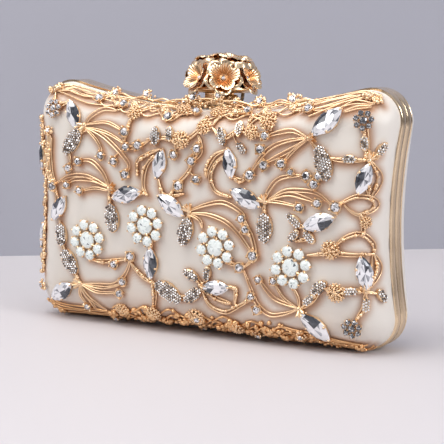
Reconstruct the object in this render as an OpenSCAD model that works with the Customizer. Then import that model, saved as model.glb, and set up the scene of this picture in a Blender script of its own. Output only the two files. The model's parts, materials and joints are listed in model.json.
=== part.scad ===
// Evening box clutch: two dished shells in thin metal frames, hinged along the bottom,
// with a flower clasp on top and a soldered filigree of wires and stones on the front.
// The origin is at the middle of the footprint, on the standing plane. The seam between the
// two halves lies a little behind it, because only the front carries the filigree.
// X runs along the clutch, the front faces -Y, and Z is up. All lengths are in millimetres.

/* [Case] */
// Width of the frame over its corners
case_w = 204; // [190:1:220]
// Height of the frame over its corners
case_h = 126; // [118:1:136]
// Radius of the four corners
corner_r = 16; // [14:0.5:18]
// Dip of the top edge at its middle
top_dip = 11.3; // [9:0.1:12]
// Rise of the bottom edge at its middle
bottom_rise = 2.5; // [2.2:0.1:3]
// Draw-in of each side at its middle
side_dip = 4.3; // [3:0.1:6]

/* [Frame] */
// Width of each half's metal band
band_w = 6.5; // [5.5:0.1:7.5]
// Wall of the band
band_t = 1.2; // [1:0.1:1.5]
// Wall of the flange that the two halves close on
flange_t = 1.2; // [1:0.1:1.5]
// Width of the flange inside the band
flange_w = 4; // [3:0.1:4.5]
// Gap between the two halves when closed
seam_gap = 0.3; // [0.2:0.05:0.5]

/* [Shells] */
// Depth of the shell beyond its band
shell_reach = 18.5; // [15:0.5:20]
// Width of the rounded shoulder round the shell
shoulder = 16; // [14.5:0.5:18]
// Crown of the flat face
face_crown = 1.5; // [0.5:0.1:2.5]
// Wall of the moulded shell
shell_t = 1.4; // [1:0.1:2]
// Satin cover with its foam
cover_t = 0.5; // [0.4:0.1:0.7]
// Lining inside
lining_t = 0.5; // [0.4:0.1:0.7]

/* [Hinge] */
// Length of the hinge barrel
hinge_l = 60; // [50:1:70]
// Radius of the knuckles
knuckle_r = 1.6; // [1.5:0.05:1.7]
// Radius of the hinge pin
pin_r = 0.8; // [0.7:0.05:0.9]
// Play of a moving knuckle round its pin
play = 0.05; // [0.03:0.01:0.08]

/* [Clasp] */
// Length of the oval clasp plate
plate_l = 35; // [33:1:38]
// Width of the clasp plate
plate_w = 30; // [27:0.5:31]
// Wall of the clasp plate
plate_t = 1.4; // [1.2:0.1:1.8]
// Height of the plate over the top edge
plate_rise = 6.5; // [6:0.1:7]
// Radius of a knob flower
rose_r = 7.2; // [6.5:0.1:8]

/* [Stones] */
// Length of a large marquise stone
marquise_l = 18; // [16:0.5:19]
// Width of a large marquise stone
marquise_w = 8.6; // [7.5:0.1:9]
// Radius of a large round stone
stone_r = 1.8; // [1.5:0.05:2]
// Radius of the ring of an opal flower
opal_ring_r = 7.2; // [6.8:0.1:7.6]
// Radius of an opal petal
petal_r = 2.4; // [2:0.05:2.5]
// Radius of the thickest wire
vine_r = 0.75; // [0.6:0.05:0.85]

/* [Hidden] */

gold = [0.86, 0.66, 0.42];
champagne = [0.80, 0.72, 0.60];
ivory = [0.86, 0.84, 0.80];
steel = [0.72, 0.72, 0.70];
crystal = [0.90, 0.92, 0.95];
smoke = [0.45, 0.45, 0.48];
opal = [0.93, 0.96, 0.95];

over = 1;
foot_flat = 0.15;

// Heights over the satin: under side of the castings, seat of the stones, marquise crown
under = 0.25;
seat_h = 2;
marquise_h = 1.7;
seam_at = (seat_h + marquise_h) / 2;

// Colours a piece, and moves it from the seam's own frame to the middle of the footprint
module piece(tint) color(tint) translate([0, seam_at, 0]) children();

half_w = case_w / 2;
mid_z = case_h / 2;
seam_y = seam_gap / 2;
flange_y = seam_y + flange_t;

// The outline is made of corner arcs and of long hollow arcs that run into them
corner_x = half_w - corner_r;
high_z = case_h - corner_r;
low_z = corner_r - foot_flat;
side_half = (high_z - low_z) / 2;
side_z = (high_z + low_z) / 2;
function hollow_r(half, sag) =
    (half * half + sag * sag - corner_r * corner_r) / (2 * (corner_r - sag));
top_r = hollow_r(corner_x, corner_r - top_dip);
low_r = hollow_r(corner_x, low_z - bottom_rise);
side_r = hollow_r(side_half, corner_r - side_dip);
top_c = [0, case_h - top_dip + top_r];
low_c = [0, bottom_rise - low_r];
side_c = [half_w - side_dip + side_r, side_z];
top_a = atan2(top_c[1] - high_z, -corner_x);
low_a = atan2(low_c[1] - low_z, -corner_x);
side_a = atan2(side_half, side_c[0] - corner_x);

// Points per quarter of the outline: half of a long edge, a corner, a side
fine = [9, 10, 8];
coarse = [3, 4, 4];

function spoke(c, r, a) = [c[0] + r * cos(a), c[1] + r * sin(a)];
function bow(c, r, a, b, n, first, last) =
    [for (i = [first:last]) spoke(c, r, a + (b - a) * i / n)];
function right_half(d, n) = concat(
    bow(low_c, low_r + d, 90, low_a + 180, n[0], 0, n[0] - 1),
    bow([corner_x, low_z], corner_r - d, low_a, side_a, n[1], 0, n[1]),
    bow(side_c, side_r + d, 180 + side_a, 180 - side_a, n[2], 1, n[2] - 1),
    bow([corner_x, high_z], corner_r - d, -side_a, top_a, n[1], 0, n[1]),
    bow(top_c, top_r + d, top_a - 180, -90, n[0], 1, n[0])
);
function outline(d, n) =
    let (h = right_half(d, n))
    concat(h, [for (i = [len(h) - 2:-1:1]) [-h[i][0], h[i][1]]]);

// How far a point lies inside the outline
function inset(x, z) =
    let (
        p = [abs(x), z],
        up = p - [corner_x, high_z],
        down = p - [corner_x, low_z],
        up_a = atan2(up[1], up[0]),
        down_a = atan2(down[1], down[0])
    )
    up_a >= -side_a && up_a <= top_a ? corner_r - norm(up)
    : down_a <= side_a && down_a >= low_a ? corner_r - norm(down)
    : min(norm(p - top_c) - top_r, norm(p - low_c) - low_r, norm(p - side_c) - side_r);

// The shell's depth beyond its band: a rounded shoulder, softer corners, a crowned face
roundness = 2.4;
corner_fall = 0.6;
crown_edge = 18;
function swell(s) =
    s <= 0 ? 0 : s >= 1 ? 1 : pow(1 - pow(1 - s, roundness), 1 / roundness);
function fall(x, z) =
    1 - corner_fall * pow(abs(x) / half_w, 3) * pow(abs(z - mid_z) / mid_z, 3);
function crown(x, z) =
    let (px = x / (half_w - crown_edge), pz = (z - mid_z) / (mid_z - crown_edge))
    face_crown * max(0, 1 - px * px - pz * pz);
function depth(x, z, o) =
    (shell_reach - o) * swell((inset(x, z) - band_t - o) / shoulder) * fall(x, z)
    + crown(x, z);

// Rings of a dished surface that lies o inside the outer face of the cover
ring_shares = [0, 0.1, 0.38, 0.85];
inner_share = 0.5;
function flat_ring(o) = outline(band_t + o, coarse);
function rim_ring(o) = [for (p = flat_ring(o)) [p[0], flange_y, p[1]]];
function face_ring(o, share) =
    [for (p = outline(band_t + o + share * (shoulder - o), coarse))
        [p[0], band_w + depth(p[0], p[1], o), p[1]]];
function shrunk_ring(o, share) =
    [for (p = outline(band_t + o + ring_shares[3] * (shoulder - o), coarse))
        let (x = p[0] * share, z = mid_z + (p[1] - mid_z) * share)
        [x, band_w + depth(x, z, o), z]];
function surface_points(o) = concat(
    rim_ring(o),
    [for (s = ring_shares) each face_ring(o, s)],
    shrunk_ring(o, inner_share),
    [[0, band_w + depth(0, mid_z, o), mid_z]]
);
ring_n = len(flat_ring(0));
ring_count = len(ring_shares) + 2;

// A bowl between the surface at o and the surface t further in
module bowl(o, t) {
    m = ring_n * ring_count + 1;
    strip = [for (j = [0:ring_count - 2]) for (i = [0:ring_n - 1])
        [j * ring_n + i, j * ring_n + (i + 1) % ring_n,
         (j + 1) * ring_n + (i + 1) % ring_n, (j + 1) * ring_n + i]];
    fan = [for (i = [0:ring_n - 1])
        [(ring_count - 1) * ring_n + i, (ring_count - 1) * ring_n + (i + 1) % ring_n, m - 1]];
    skin = concat([for (q = strip) each [[q[0], q[1], q[2]], [q[0], q[2], q[3]]]], fan);
    lip = [for (i = [0:ring_n - 1])
        each [[i, m + i, (i + 1) % ring_n], [(i + 1) % ring_n, m + i, m + (i + 1) % ring_n]]];
    polyhedron(
        concat(surface_points(o), surface_points(o + t)),
        concat(skin, [for (f = skin) [m + f[2], m + f[1], m + f[0]]], lip)
    );
}

// A flat outline in X and Z made solid from y0 to y1
module slab(y0, y1) {
    translate([0, y1, 0]) rotate([90, 0, 0]) linear_extrude(y1 - y0) children();
}

// A round bar along X, centred at x
module bar(x, y, z, l, r) {
    translate([x - l / 2, y, z]) rotate([0, 90, 0]) cylinder(r = r, h = l, $fn = 40);
}

// Hinge axis under the hollow of the bottom edge
floor_gap = 0.15;
hinge_z = knuckle_r + floor_gap;
knuckle_n = 5;
knuckle_gap = 0.2;
barrel_gap = 0.35;
knuckle_l = (hinge_l - knuckle_gap * (knuckle_n - 1)) / knuckle_n;
knuckle_pitch = knuckle_l + knuckle_gap;
function knuckle_x(i) = (i - (knuckle_n - 1) / 2) * knuckle_pitch;
leaf_drop = 0.55;
leaf_low = hinge_z - leaf_drop;
leaf_top = bottom_rise + band_t;
leaf_in = knuckle_r + barrel_gap;
leaf_out = band_w - 0.1 * band_w;

// The band and the flange of one half, relieved below the hinge axis
module frame_half() {
    difference() {
        slab(seam_y, band_w) polygon(outline(0, fine));
        slab(flange_y, band_w + over) polygon(outline(band_t, coarse));
        slab(seam_y - over, flange_y + over) polygon(outline(band_t + flange_w, coarse));
        translate([-half_w - over, 0, 0]) rotate([90, 0, 90]) linear_extrude(case_w + 2 * over)
            polygon([[-over, hinge_z], [0, hinge_z], [hinge_z + over, -over], [-over, -over]]);
        bar(0, 0, hinge_z, hinge_l + 2 * barrel_gap, knuckle_r + barrel_gap);
        translate([-half_w - over, 0, -over]) cube([case_w + 2 * over, band_w + over, over]);
    }
}

module rear_frame() piece(champagne) frame_half();
module front_frame() piece(champagne) mirror([0, 1, 0]) frame_half();
module rear_shell() piece(steel) bowl(cover_t, shell_t);
module front_shell() piece(steel) mirror([0, 1, 0]) bowl(cover_t, shell_t);
module rear_cover() piece(ivory) bowl(0, cover_t);
module front_cover() piece(ivory) mirror([0, 1, 0]) bowl(0, cover_t);
module rear_lining() piece("tan") bowl(cover_t + shell_t, lining_t);
module front_lining() piece("tan") mirror([0, 1, 0]) bowl(cover_t + shell_t, lining_t);

// One hinge leaf: a plate under the band, with the knuckles that start at first
module hinge_leaf(first, bore_r) {
    difference() {
        union() {
            difference() {
                translate([-hinge_l / 2, leaf_in, leaf_low])
                    cube([hinge_l, leaf_out - leaf_in, leaf_top - leaf_low]);
                slab(leaf_in - over, leaf_out + over) polygon(outline(0, fine));
            }
            for (i = [first:2:knuckle_n - 1]) {
                bar(knuckle_x(i), 0, hinge_z, knuckle_l, knuckle_r);
                translate([knuckle_x(i) - knuckle_l / 2, 0, leaf_low])
                    cube([knuckle_l, leaf_in + pin_r, leaf_drop]);
            }
        }
        bar(0, 0, hinge_z, hinge_l + over, bore_r);
    }
}
module hinge_leaf_rear() piece(champagne) hinge_leaf(0, pin_r);
module hinge_leaf_front() piece(champagne) mirror([0, 1, 0]) hinge_leaf(1, pin_r + play);
module hinge_pin() piece(steel) bar(0, 0, hinge_z, hinge_l, pin_r);

// Eyes for a shoulder chain, on the inner edge of the rear flange
lug_z_share = 0.78;
lug_r = 3;
lug_hole_r = 1.5;
module chain_lug(side) {
    edge_x = spoke(side_c, side_r + band_t + flange_w, 180)[0];
    eye_x = side * (edge_x - lug_r);
    z = case_h * lug_z_share;
    difference() {
        slab(seam_y, flange_y) intersection() {
            union() {
                translate([eye_x, z]) circle(lug_r, $fn = 32);
                translate([eye_x + (side < 0 ? -3 * lug_r : 0), z - lug_r])
                    square([3 * lug_r, 2 * lug_r]);
            }
            polygon(outline(band_t + flange_w, coarse));
        }
        translate([eye_x, seam_y - over, z]) rotate([-90, 0, 0])
            cylinder(r = lug_hole_r, h = flange_t + 2 * over, $fn = 32);
    }
}
module chain_lug_left() piece(champagne) chain_lug(-1);
module chain_lug_right() piece(champagne) chain_lug(1);

// Clasp: a plate on a cross pin over the rear band, hooked on a tongue of the front band
top_z = case_h - top_dip;
plate_z = top_z + plate_rise;
clasp_y = 4.2;
pin_drop = 2.6;
clasp_z = plate_z - pin_drop;
clasp_pin_r = 0.7;
eye_r = 1.6;
bracket_w = 22;
bracket_t = 0.9;
bracket_y0 = 1.6;
bracket_y1 = 5.9;
leaf_w = 1.9;
leaf_gap = 1.3;
ear_t = 1.6;
ear_x = bracket_w / 2 - leaf_w - leaf_gap - ear_t / 2;
ear_gap = 0.3;
head_r = 1.1;
head_t = 0.5;
module clasp_bracket() piece(gold) {
    difference() {
        union() {
            translate([-bracket_w / 2, bracket_y0, top_z - over])
                cube([bracket_w, bracket_y1 - bracket_y0, bracket_t + over]);
            for (x = [-ear_x, ear_x]) {
                bar(x, clasp_y, clasp_z, ear_t, eye_r);
                translate([x - ear_t / 2, clasp_y - eye_r, top_z])
                    cube([ear_t, 2 * eye_r, clasp_z - top_z]);
            }
        }
        slab(bracket_y0 - over, bracket_y1 + over) polygon(outline(0, fine));
        bar(0, clasp_y, clasp_z, bracket_w, clasp_pin_r);
    }
}
pin_l = 2 * ear_x + ear_t;
module clasp_pin() piece(steel) {
    bar(0, clasp_y, clasp_z, pin_l, clasp_pin_r);
    for (s = [-1, 1]) bar(s * (pin_l + head_t) / 2, clasp_y, clasp_z, head_t, head_r);
}

// A pair of bent leaves outside the ears that push the back of the plate up
leaf_t = 0.25;
leaf_rise = plate_z - top_z - bracket_t;
leaf_run = 2.4;
module clasp_spring() piece(steel)
    for (s = [-1, 1])
        translate([s * (bracket_w - leaf_w) / 2 - leaf_w / 2, bracket_y0, top_z + bracket_t])
            rotate([90, 0, 90]) linear_extrude(leaf_w)
            polygon([
                [0, 0], [leaf_run, 0], [leaf_run + leaf_rise * 0.32, leaf_rise * 0.3],
                [leaf_run + leaf_rise * 0.5, leaf_rise * 0.94], [leaf_run + leaf_rise * 0.56, leaf_rise],
                [leaf_run + leaf_rise * 0.44, leaf_rise],
                [leaf_run + leaf_rise * 0.32 - leaf_t, leaf_rise * 0.36],
                [leaf_run - leaf_t, leaf_t], [0, leaf_t]
            ]);

// The oval saucer: a knuckle behind, a hook in front, and a stop that rests on the tongue
plate_n = 40;
plate_y = 3.45;
plate_rim = 1.6;
plate_shares = [
    [0.8, 0, 0, 0], [1, 0.54, 0, 0], [0.985, 1, 0, 0], [0.88, plate_t / (plate_t + plate_rim), 0, 0]
];
hook_t = 0.8;
hook_w = 8;
hook_gap = 0.5;
hook_y = -band_w - 0.1 * band_w - hook_t;
stop_w = 4;
stop_t = 1.2;
tongue_t = 0.4;
tongue_w = 7;
lip_h = 1.9;
lip_gap = 0.25;
function oval(l, w, n) = [for (i = [0:n - 1]) [l / 2 * cos(360 * i / n), w / 2 * sin(360 * i / n)]];
module clasp_plate() piece(gold) {
    knuckle_w = 2 * ear_x - ear_t - 2 * ear_gap;
    difference() {
        union() {
            translate([0, plate_y, plate_z]) scale([1, plate_w / plate_l, 1])
                flower(plate_shares, plate_l / 2, plate_t + plate_rim, plate_n);
            bar(0, clasp_y, clasp_z, knuckle_w, eye_r);
            translate([-knuckle_w / 2, clasp_y - eye_r / 2, clasp_z])
                cube([knuckle_w, eye_r, plate_z - clasp_z]);
            translate([-hook_w / 2, hook_y, top_z + hook_gap])
                cube([hook_w, hook_t, plate_z - top_z - hook_gap]);
            translate([-hook_w / 2, hook_y, plate_z])
                cube([hook_w, -hook_y, plate_t]);
            translate([-stop_w / 2, -band_w / 2 - stop_t, top_z + tongue_t])
                cube([stop_w, stop_t, plate_z - top_z - tongue_t]);
        }
        bar(0, clasp_y, clasp_z, bracket_w, clasp_pin_r + play);
    }
}
module catch_tongue() piece(steel)
    difference() {
        union() {
            translate([-tongue_w / 2, hook_y + hook_t + lip_gap, top_z - over])
                cube([tongue_w, band_w - 2 * seam_gap - lip_gap, tongue_t + over]);
            translate([-tongue_w / 2, hook_y + hook_t + lip_gap, top_z])
                cube([tongue_w, tongue_t, lip_h]);
        }
        slab(-band_w - over, over) polygon(outline(0, fine));
    }

// A cast flower is a deep bell with five petals and a stone's seat in its throat
// Each row: radius share, height share, scallop share, phase of the scallops
rose_shares = [
    [0.35, 0, 0, 0], [0.5, 0.2, 0.03, 0], [0.72, 0.55, 0.06, 0], [0.9, 1, 0.1, 0],
    [0.83, 0.97, 0.1, 0], [0.56, 0.5, 0.04, 0], [0.3, 0.28, 0, 0]
];
blossom_shares = [
    [0.5, 0, 0, 0], [1, 0.66, 0.14, 0], [0.82, 0.9, 0.14, 0], [0.5, 0.56, 0, 0]
];
petal_n = 5;
module flower(shares, r, h, n) {
    rings = len(shares);
    ring = [for (s = shares) each [for (i = [0:n - 1])
        let (a = 360 * i / n, q = r * (s[0] + s[2] * cos(petal_n * a + 180 * s[3])))
        [q * cos(a), q * sin(a), h * s[1]]]];
    points = concat(ring, [[0, 0, h * shares[0][1]], [0, 0, h * shares[rings - 1][1]]]);
    walls = [for (j = [0:rings - 2]) for (i = [0:n - 1])
        let (a = j * n + i, b = j * n + (i + 1) % n)
        each [[a, a + n, b], [b, a + n, b + n]]];
    base = [for (i = [0:n - 1]) [rings * n, i, (i + 1) % n]];
    tip = [for (i = [0:n - 1])
        [rings * n + 1, (rings - 1) * n + (i + 1) % n, (rings - 1) * n + i]];
    polyhedron(points, concat(walls, base, tip));
}

// The knob: a tapered core with a ring of six flowers round it and two on top
core_z = plate_z + plate_t;
core_l_share = 0.76;
core_w_share = 0.86;
core_l = core_l_share * plate_l;
core_w = core_w_share * plate_w;
core_h = 13.7;
core_taper = 0.74;
rose_h = 7.5;
rose_n = 15;
crystal_r = 1.1;
crystal_h = 0.8;
// Each row: place as shares of the core's half length, half width and height, turn, lean, size
rose_rows_share = [
    [-0.485, -0.86, 0.42, -120, 25, 1], [0.485, -0.86, 0.42, -60, 25, 1],
    [-0.97, 0, 0.42, 180, 25, 1], [0.97, 0, 0.42, 0, 25, 1],
    [-0.485, 0.86, 0.42, 120, 25, 1], [0.485, 0.86, 0.42, 60, 25, 1],
    [-0.5, 0, 0.95, 180, 80, 1], [0.5, 0, 0.95, 0, 80, 1]
];
module at_rose(i) {
    q = rose_rows_share[i];
    translate([q[0] * core_l / 2, plate_y + q[1] * core_w / 2, core_z + q[2] * core_h])
        rotate([0, 0, q[3]]) rotate([0, 90 - q[4], 0]) scale(q[5]) children();
}
module core() {
    translate([0, plate_y, core_z]) linear_extrude(core_h, scale = core_taper)
        polygon(oval(core_l, core_w, plate_n / 2));
}
module knob_core() piece(gold) core();
rose_sink = 1.2;
module rose(i) piece(gold) difference() {
    at_rose(i) translate([0, 0, -rose_sink]) flower(rose_shares, rose_r, rose_h, rose_n);
    core();
}
module rose_front_left() rose(0);
module rose_front_right() rose(1);
module rose_left() rose(2);
module rose_right() rose(3);
module rose_back_left() rose(4);
module rose_back_right() rose(5);
module rose_top_left() rose(6);
module rose_top_right() rose(7);
module rose_crystals() piece(crystal)
    for (i = [0:len(rose_rows_share) - 1])
        at_rose(i) translate([0, 0, rose_h * rose_shares[len(rose_shares) - 1][1] - rose_sink])
            cylinder(r1 = crystal_r, r2 = crystal_r / 2, h = crystal_h, $fn = 8);

// Places on the front face are shares of the half width and of the height
probe = 0.4;
function unit(v) = v / norm(v);
function front_normal(x, z) =
    let (
        dx = (depth(x + probe, z, 0) - depth(x - probe, z, 0)) / (2 * probe),
        dz = (depth(x, z + probe, 0) - depth(x, z - probe, 0)) / (2 * probe)
    )
    unit([-dx, -1, -dz]);
function front_point(u, v, h) =
    let (x = u * half_w, z = v * case_h)
    [x, -band_w - depth(x, z, 0), z] + h * front_normal(x, z);
module seat(u, v, turn) {
    n = front_normal(u * half_w, v * case_h);
    e = [cos(turn), 0, sin(turn)];
    t = unit(e - (e * n) * n);
    b = cross(n, t);
    p = front_point(u, v, 0);
    multmatrix([
        [t[0], b[0], n[0], p[0]], [t[1], b[1], n[1], p[1]],
        [t[2], b[2], n[2], p[2]], [0, 0, 0, 1]
    ]) children();
}

// A smooth curve through hand-picked places
function along(p, i, t) =
    let (a = p[max(i - 1, 0)], b = p[i], c = p[i + 1], d = p[min(i + 2, len(p) - 1)])
    (2 * b + (c - a) * t + (2 * a - 5 * b + 4 * c - d) * t * t
        + (3 * b - a - 3 * c + d) * t * t * t) / 2;
function smooth(p, k) = concat(
    [for (i = [0:len(p) - 2]) for (j = [0:k - 1]) along(p, i, j / k)], [p[len(p) - 1]]);

// A wire through 3D points, r0 thick at its start and r1 at its end
wire_sides = 4;
module wire(path, r0, r1) {
    n = len(path);
    points = [for (i = [0:n - 1])
        let (
            t = unit(path[min(i + 1, n - 1)] - path[max(i - 1, 0)]),
            side = unit(cross(t, [0, 1, 0])),
            up = cross(side, t),
            r = r0 + (r1 - r0) * i / (n - 1)
        )
        each [for (k = [0:wire_sides - 1])
            path[i] + r * (cos(360 * k / wire_sides) * side + sin(360 * k / wire_sides) * up)]];
    walls = [for (i = [0:n - 2]) for (k = [0:wire_sides - 1])
        let (a = i * wire_sides + k, b = i * wire_sides + (k + 1) % wire_sides)
        each [[a, b, a + wire_sides], [b, b + wire_sides, a + wire_sides]]];
    start = [for (k = [1:wire_sides - 2]) [0, k + 1, k]];
    last = (n - 1) * wire_sides;
    end = [for (k = [1:wire_sides - 2]) [last, last + k, last + k + 1]];
    polyhedron(points, concat(walls, start, end));
}
module face_wire(p, r0, r1, k) {
    wire([for (q = smooth(p, k)) front_point(q[0], q[1], under + vine_r)], r0, r1);
}

// Sprays: fine wires that fan out of a hub and end in a stone
spray_shares = [
    [[-0.64, 0.82], [-0.61, 0.86], [-0.54, 0.89], [-0.46, 0.88]],
    [[-0.64, 0.82], [-0.51, 0.83], [-0.40, 0.80]],
    [[-0.64, 0.81], [-0.51, 0.79], [-0.39, 0.75]],
    [[-0.64, 0.81], [-0.52, 0.77], [-0.38, 0.68], [-0.38, 0.64]],
    [[-0.64, 0.81], [-0.56, 0.75], [-0.53, 0.70]],
    [[-0.48, 0.57], [-0.55, 0.60], [-0.64, 0.62], [-0.74, 0.61], [-0.82, 0.57]],
    [[-0.48, 0.57], [-0.57, 0.59], [-0.69, 0.59], [-0.74, 0.57]],
    [[-0.48, 0.56], [-0.57, 0.57], [-0.66, 0.55]],
    [[-0.48, 0.57], [-0.53, 0.63], [-0.60, 0.67], [-0.67, 0.67]],
    [[0.61, 0.81], [0.53, 0.84], [0.45, 0.83], [0.39, 0.81]],
    [[0.61, 0.81], [0.50, 0.79], [0.42, 0.76], [0.36, 0.71], [0.32, 0.66]],
    [[0.61, 0.81], [0.52, 0.77], [0.45, 0.74], [0.39, 0.71]],
    [[0.61, 0.81], [0.54, 0.77], [0.48, 0.71]],
    [[0.40, 0.56], [0.42, 0.60], [0.48, 0.65], [0.61, 0.67]],
    [[0.40, 0.56], [0.49, 0.61], [0.58, 0.62], [0.67, 0.61], [0.75, 0.56]],
    [[0.40, 0.56], [0.51, 0.59], [0.60, 0.58], [0.66, 0.57]],
    [[0.40, 0.56], [0.46, 0.56], [0.58, 0.55]],
    [[-0.02, 0.50], [0.09, 0.53], [0.18, 0.54], [0.27, 0.51], [0.29, 0.49]],
    [[-0.01, 0.495], [0.09, 0.50], [0.19, 0.48], [0.26, 0.44], [0.31, 0.39], [0.34, 0.35]],
    [[-0.02, 0.49], [0.04, 0.47], [0.06, 0.44]],
    [[-0.67, 0.16], [-0.56, 0.17], [-0.46, 0.18], [-0.39, 0.23], [-0.35, 0.30]],
    [[-0.67, 0.16], [-0.57, 0.13], [-0.42, 0.14]],
    [[-0.67, 0.16], [-0.53, 0.15], [-0.40, 0.18]],
    [[-0.67, 0.16], [-0.68, 0.11], [-0.64, 0.07]],
    [[0.58, 0.16], [0.46, 0.18], [0.40, 0.22], [0.37, 0.26]],
    [[0.58, 0.16], [0.50, 0.20], [0.45, 0.26]],
    [[0.58, 0.16], [0.50, 0.13], [0.42, 0.12], [0.35, 0.16], [0.32, 0.22], [0.28, 0.30]],
    [[0.58, 0.16], [0.58, 0.20], [0.55, 0.24]],
    [[-0.87, 0.96], [-0.78, 0.97], [-0.69, 0.95], [-0.60, 0.93]],
    [[-0.86, 0.95], [-0.77, 0.95], [-0.68, 0.93], [-0.58, 0.93]],
    [[0.91, 0.95], [0.81, 0.965], [0.70, 0.95], [0.59, 0.92]],
    [[0.90, 0.94], [0.81, 0.95], [0.71, 0.93], [0.60, 0.91]],
    [[0.89, 0.93], [0.83, 0.93], [0.77, 0.91]]
];

// Vines: thicker wires that carry the leaves, rings and large stones
vine_shares = [
    [[-0.35, 0.87], [-0.37, 0.83], [-0.39, 0.75], [-0.31, 0.75], [-0.24, 0.78]],
    [[-0.24, 0.76], [-0.17, 0.78], [-0.06, 0.77], [0.01, 0.80], [0.05, 0.84], [0.05, 0.87]],
    [[-0.36, 0.87], [-0.26, 0.90], [-0.16, 0.86], [-0.10, 0.88], [-0.03, 0.88]],
    [[0.10, 0.83], [0.17, 0.79], [0.25, 0.82], [0.32, 0.81], [0.39, 0.81]],
    [[0.03, 0.75], [0.00, 0.71], [-0.01, 0.66], [-0.08, 0.60], [-0.12, 0.56]],
    [[0.03, 0.80], [0.04, 0.74], [0.00, 0.70]],
    [[-0.18, 0.74], [-0.26, 0.71], [-0.31, 0.68], [-0.31, 0.63]],
    [[-0.19, 0.72], [-0.25, 0.69], [-0.28, 0.64], [-0.28, 0.58], [-0.25, 0.55]],
    [[-0.19, 0.62], [-0.17, 0.58], [-0.14, 0.56], [-0.04, 0.57]],
    [[0.18, 0.75], [0.12, 0.73], [0.08, 0.68], [0.08, 0.64]],
    [[0.18, 0.73], [0.13, 0.69], [0.11, 0.64], [0.14, 0.59], [0.22, 0.57]],
    [[0.22, 0.65], [0.27, 0.63], [0.31, 0.66]],
    [[0.72, 0.74], [0.79, 0.74], [0.89, 0.74]],
    [[0.87, 0.88], [0.88, 0.82], [0.89, 0.74]],
    [[0.89, 0.74], [0.94, 0.77]],
    [[0.90, 0.74], [0.94, 0.69], [0.94, 0.64], [0.91, 0.59]],
    [[0.90, 0.73], [0.92, 0.68], [0.92, 0.61]],
    [[0.75, 0.56], [0.80, 0.58], [0.86, 0.60], [0.91, 0.59], [0.91, 0.56], [0.86, 0.54], [0.80, 0.57]],
    [[0.87, 0.54], [0.89, 0.50], [0.88, 0.46]],
    [[0.76, 0.41], [0.80, 0.44], [0.87, 0.46], [0.91, 0.43], [0.92, 0.39]],
    [[0.62, 0.37], [0.74, 0.39], [0.83, 0.39], [0.92, 0.39]],
    [[0.92, 0.39], [0.95, 0.34], [0.94, 0.29], [0.90, 0.25]],
    [[0.92, 0.39], [0.93, 0.33], [0.91, 0.26]],
    [[0.70, 0.25], [0.77, 0.24], [0.85, 0.25], [0.94, 0.24]],
    [[0.90, 0.25], [0.90, 0.19], [0.86, 0.14]],
    [[-0.85, 0.76], [-0.86, 0.69], [-0.85, 0.62], [-0.82, 0.57]],
    [[-0.79, 0.42], [-0.78, 0.36], [-0.75, 0.27], [-0.69, 0.19], [-0.66, 0.16]],
    [[-0.61, 0.27], [-0.53, 0.26], [-0.45, 0.27], [-0.35, 0.29]],
    [[-0.36, 0.28], [-0.29, 0.23], [-0.23, 0.20]],
    [[-0.23, 0.21], [-0.22, 0.15], [-0.23, 0.09]],
    [[-0.22, 0.20], [-0.13, 0.17], [-0.02, 0.16], [0.05, 0.20]],
    [[-0.03, 0.26], [0.03, 0.23], [0.06, 0.20]],
    [[0.06, 0.19], [0.10, 0.14], [0.18, 0.12], [0.26, 0.15], [0.33, 0.18]],
    [[0.06, 0.20], [0.14, 0.16], [0.22, 0.15]],
    [[0.21, 0.22], [0.25, 0.21], [0.24, 0.15]],
    [[0.28, 0.50], [0.30, 0.46], [0.33, 0.41], [0.34, 0.35], [0.29, 0.30]],
    [[-0.48, 0.56], [-0.47, 0.50], [-0.46, 0.44]],
    [[-0.01, 0.50], [-0.03, 0.44], [-0.04, 0.40]],
    [[0.40, 0.56], [0.40, 0.50], [0.40, 0.44]],
    [[-0.48, 0.56], [-0.38, 0.54], [-0.26, 0.56]],
    [[0.61, 0.81], [0.66, 0.77], [0.70, 0.70], [0.68, 0.67]],
    [[0.56, 0.48], [0.60, 0.47], [0.62, 0.44], [0.56, 0.42]],
    [[0.58, 0.16], [0.64, 0.20], [0.68, 0.24]],
    [[0.40, 0.86], [0.33, 0.88], [0.29, 0.85], [0.32, 0.81]],
    [[0.40, 0.86], [0.42, 0.83]],
    [[0.10, 0.84], [0.13, 0.87], [0.19, 0.88], [0.26, 0.89]],
    [[-0.62, 0.80], [-0.68, 0.78], [-0.73, 0.73], [-0.72, 0.66]],
    [[-0.26, 0.46], [-0.24, 0.38], [-0.23, 0.34]],
    [[0.14, 0.37], [0.21, 0.32], [0.29, 0.31]],
    [[-0.76, 0.91], [-0.83, 0.90], [-0.86, 0.94]],
    [[-0.82, 0.57], [-0.80, 0.51], [-0.79, 0.44]]
];
hub_shares = [
    [-0.64, 0.82, 200], [-0.48, 0.57, -10], [0.61, 0.81, 30], [0.40, 0.56, 160],
    [-0.01, 0.50, 150], [-0.67, 0.16, 200], [0.58, 0.16, -45], [0.90, 0.74, 60],
    [0.90, 0.25, 100], [0.06, 0.20, 20]
];
hub_l = 2.6;
hub_r = 0.85;
spray_r = 0.5 * vine_r + 0.1 * vine_r;
// The wires were modelled by hand in wax, so no two are quite as thick
function wax_share(i) = 1 - 0.03 * (i % 5);
module filigree_net() piece(gold) {
    for (i = [0:len(spray_shares) - 1])
        face_wire(spray_shares[i], vine_r * wax_share(i), spray_r, 2);
    for (i = [0:len(vine_shares) - 1])
        face_wire(vine_shares[i], vine_r * wax_share(i + 2), vine_r * wax_share(i + 1), 2);
    for (q = hub_shares) seat(q[0], q[1], q[2]) hull()
        for (s = [-0.5, 0.5]) translate([s * hub_l, 0, under + hub_r])
            sphere(r = hub_r, $fn = 6);
}

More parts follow.
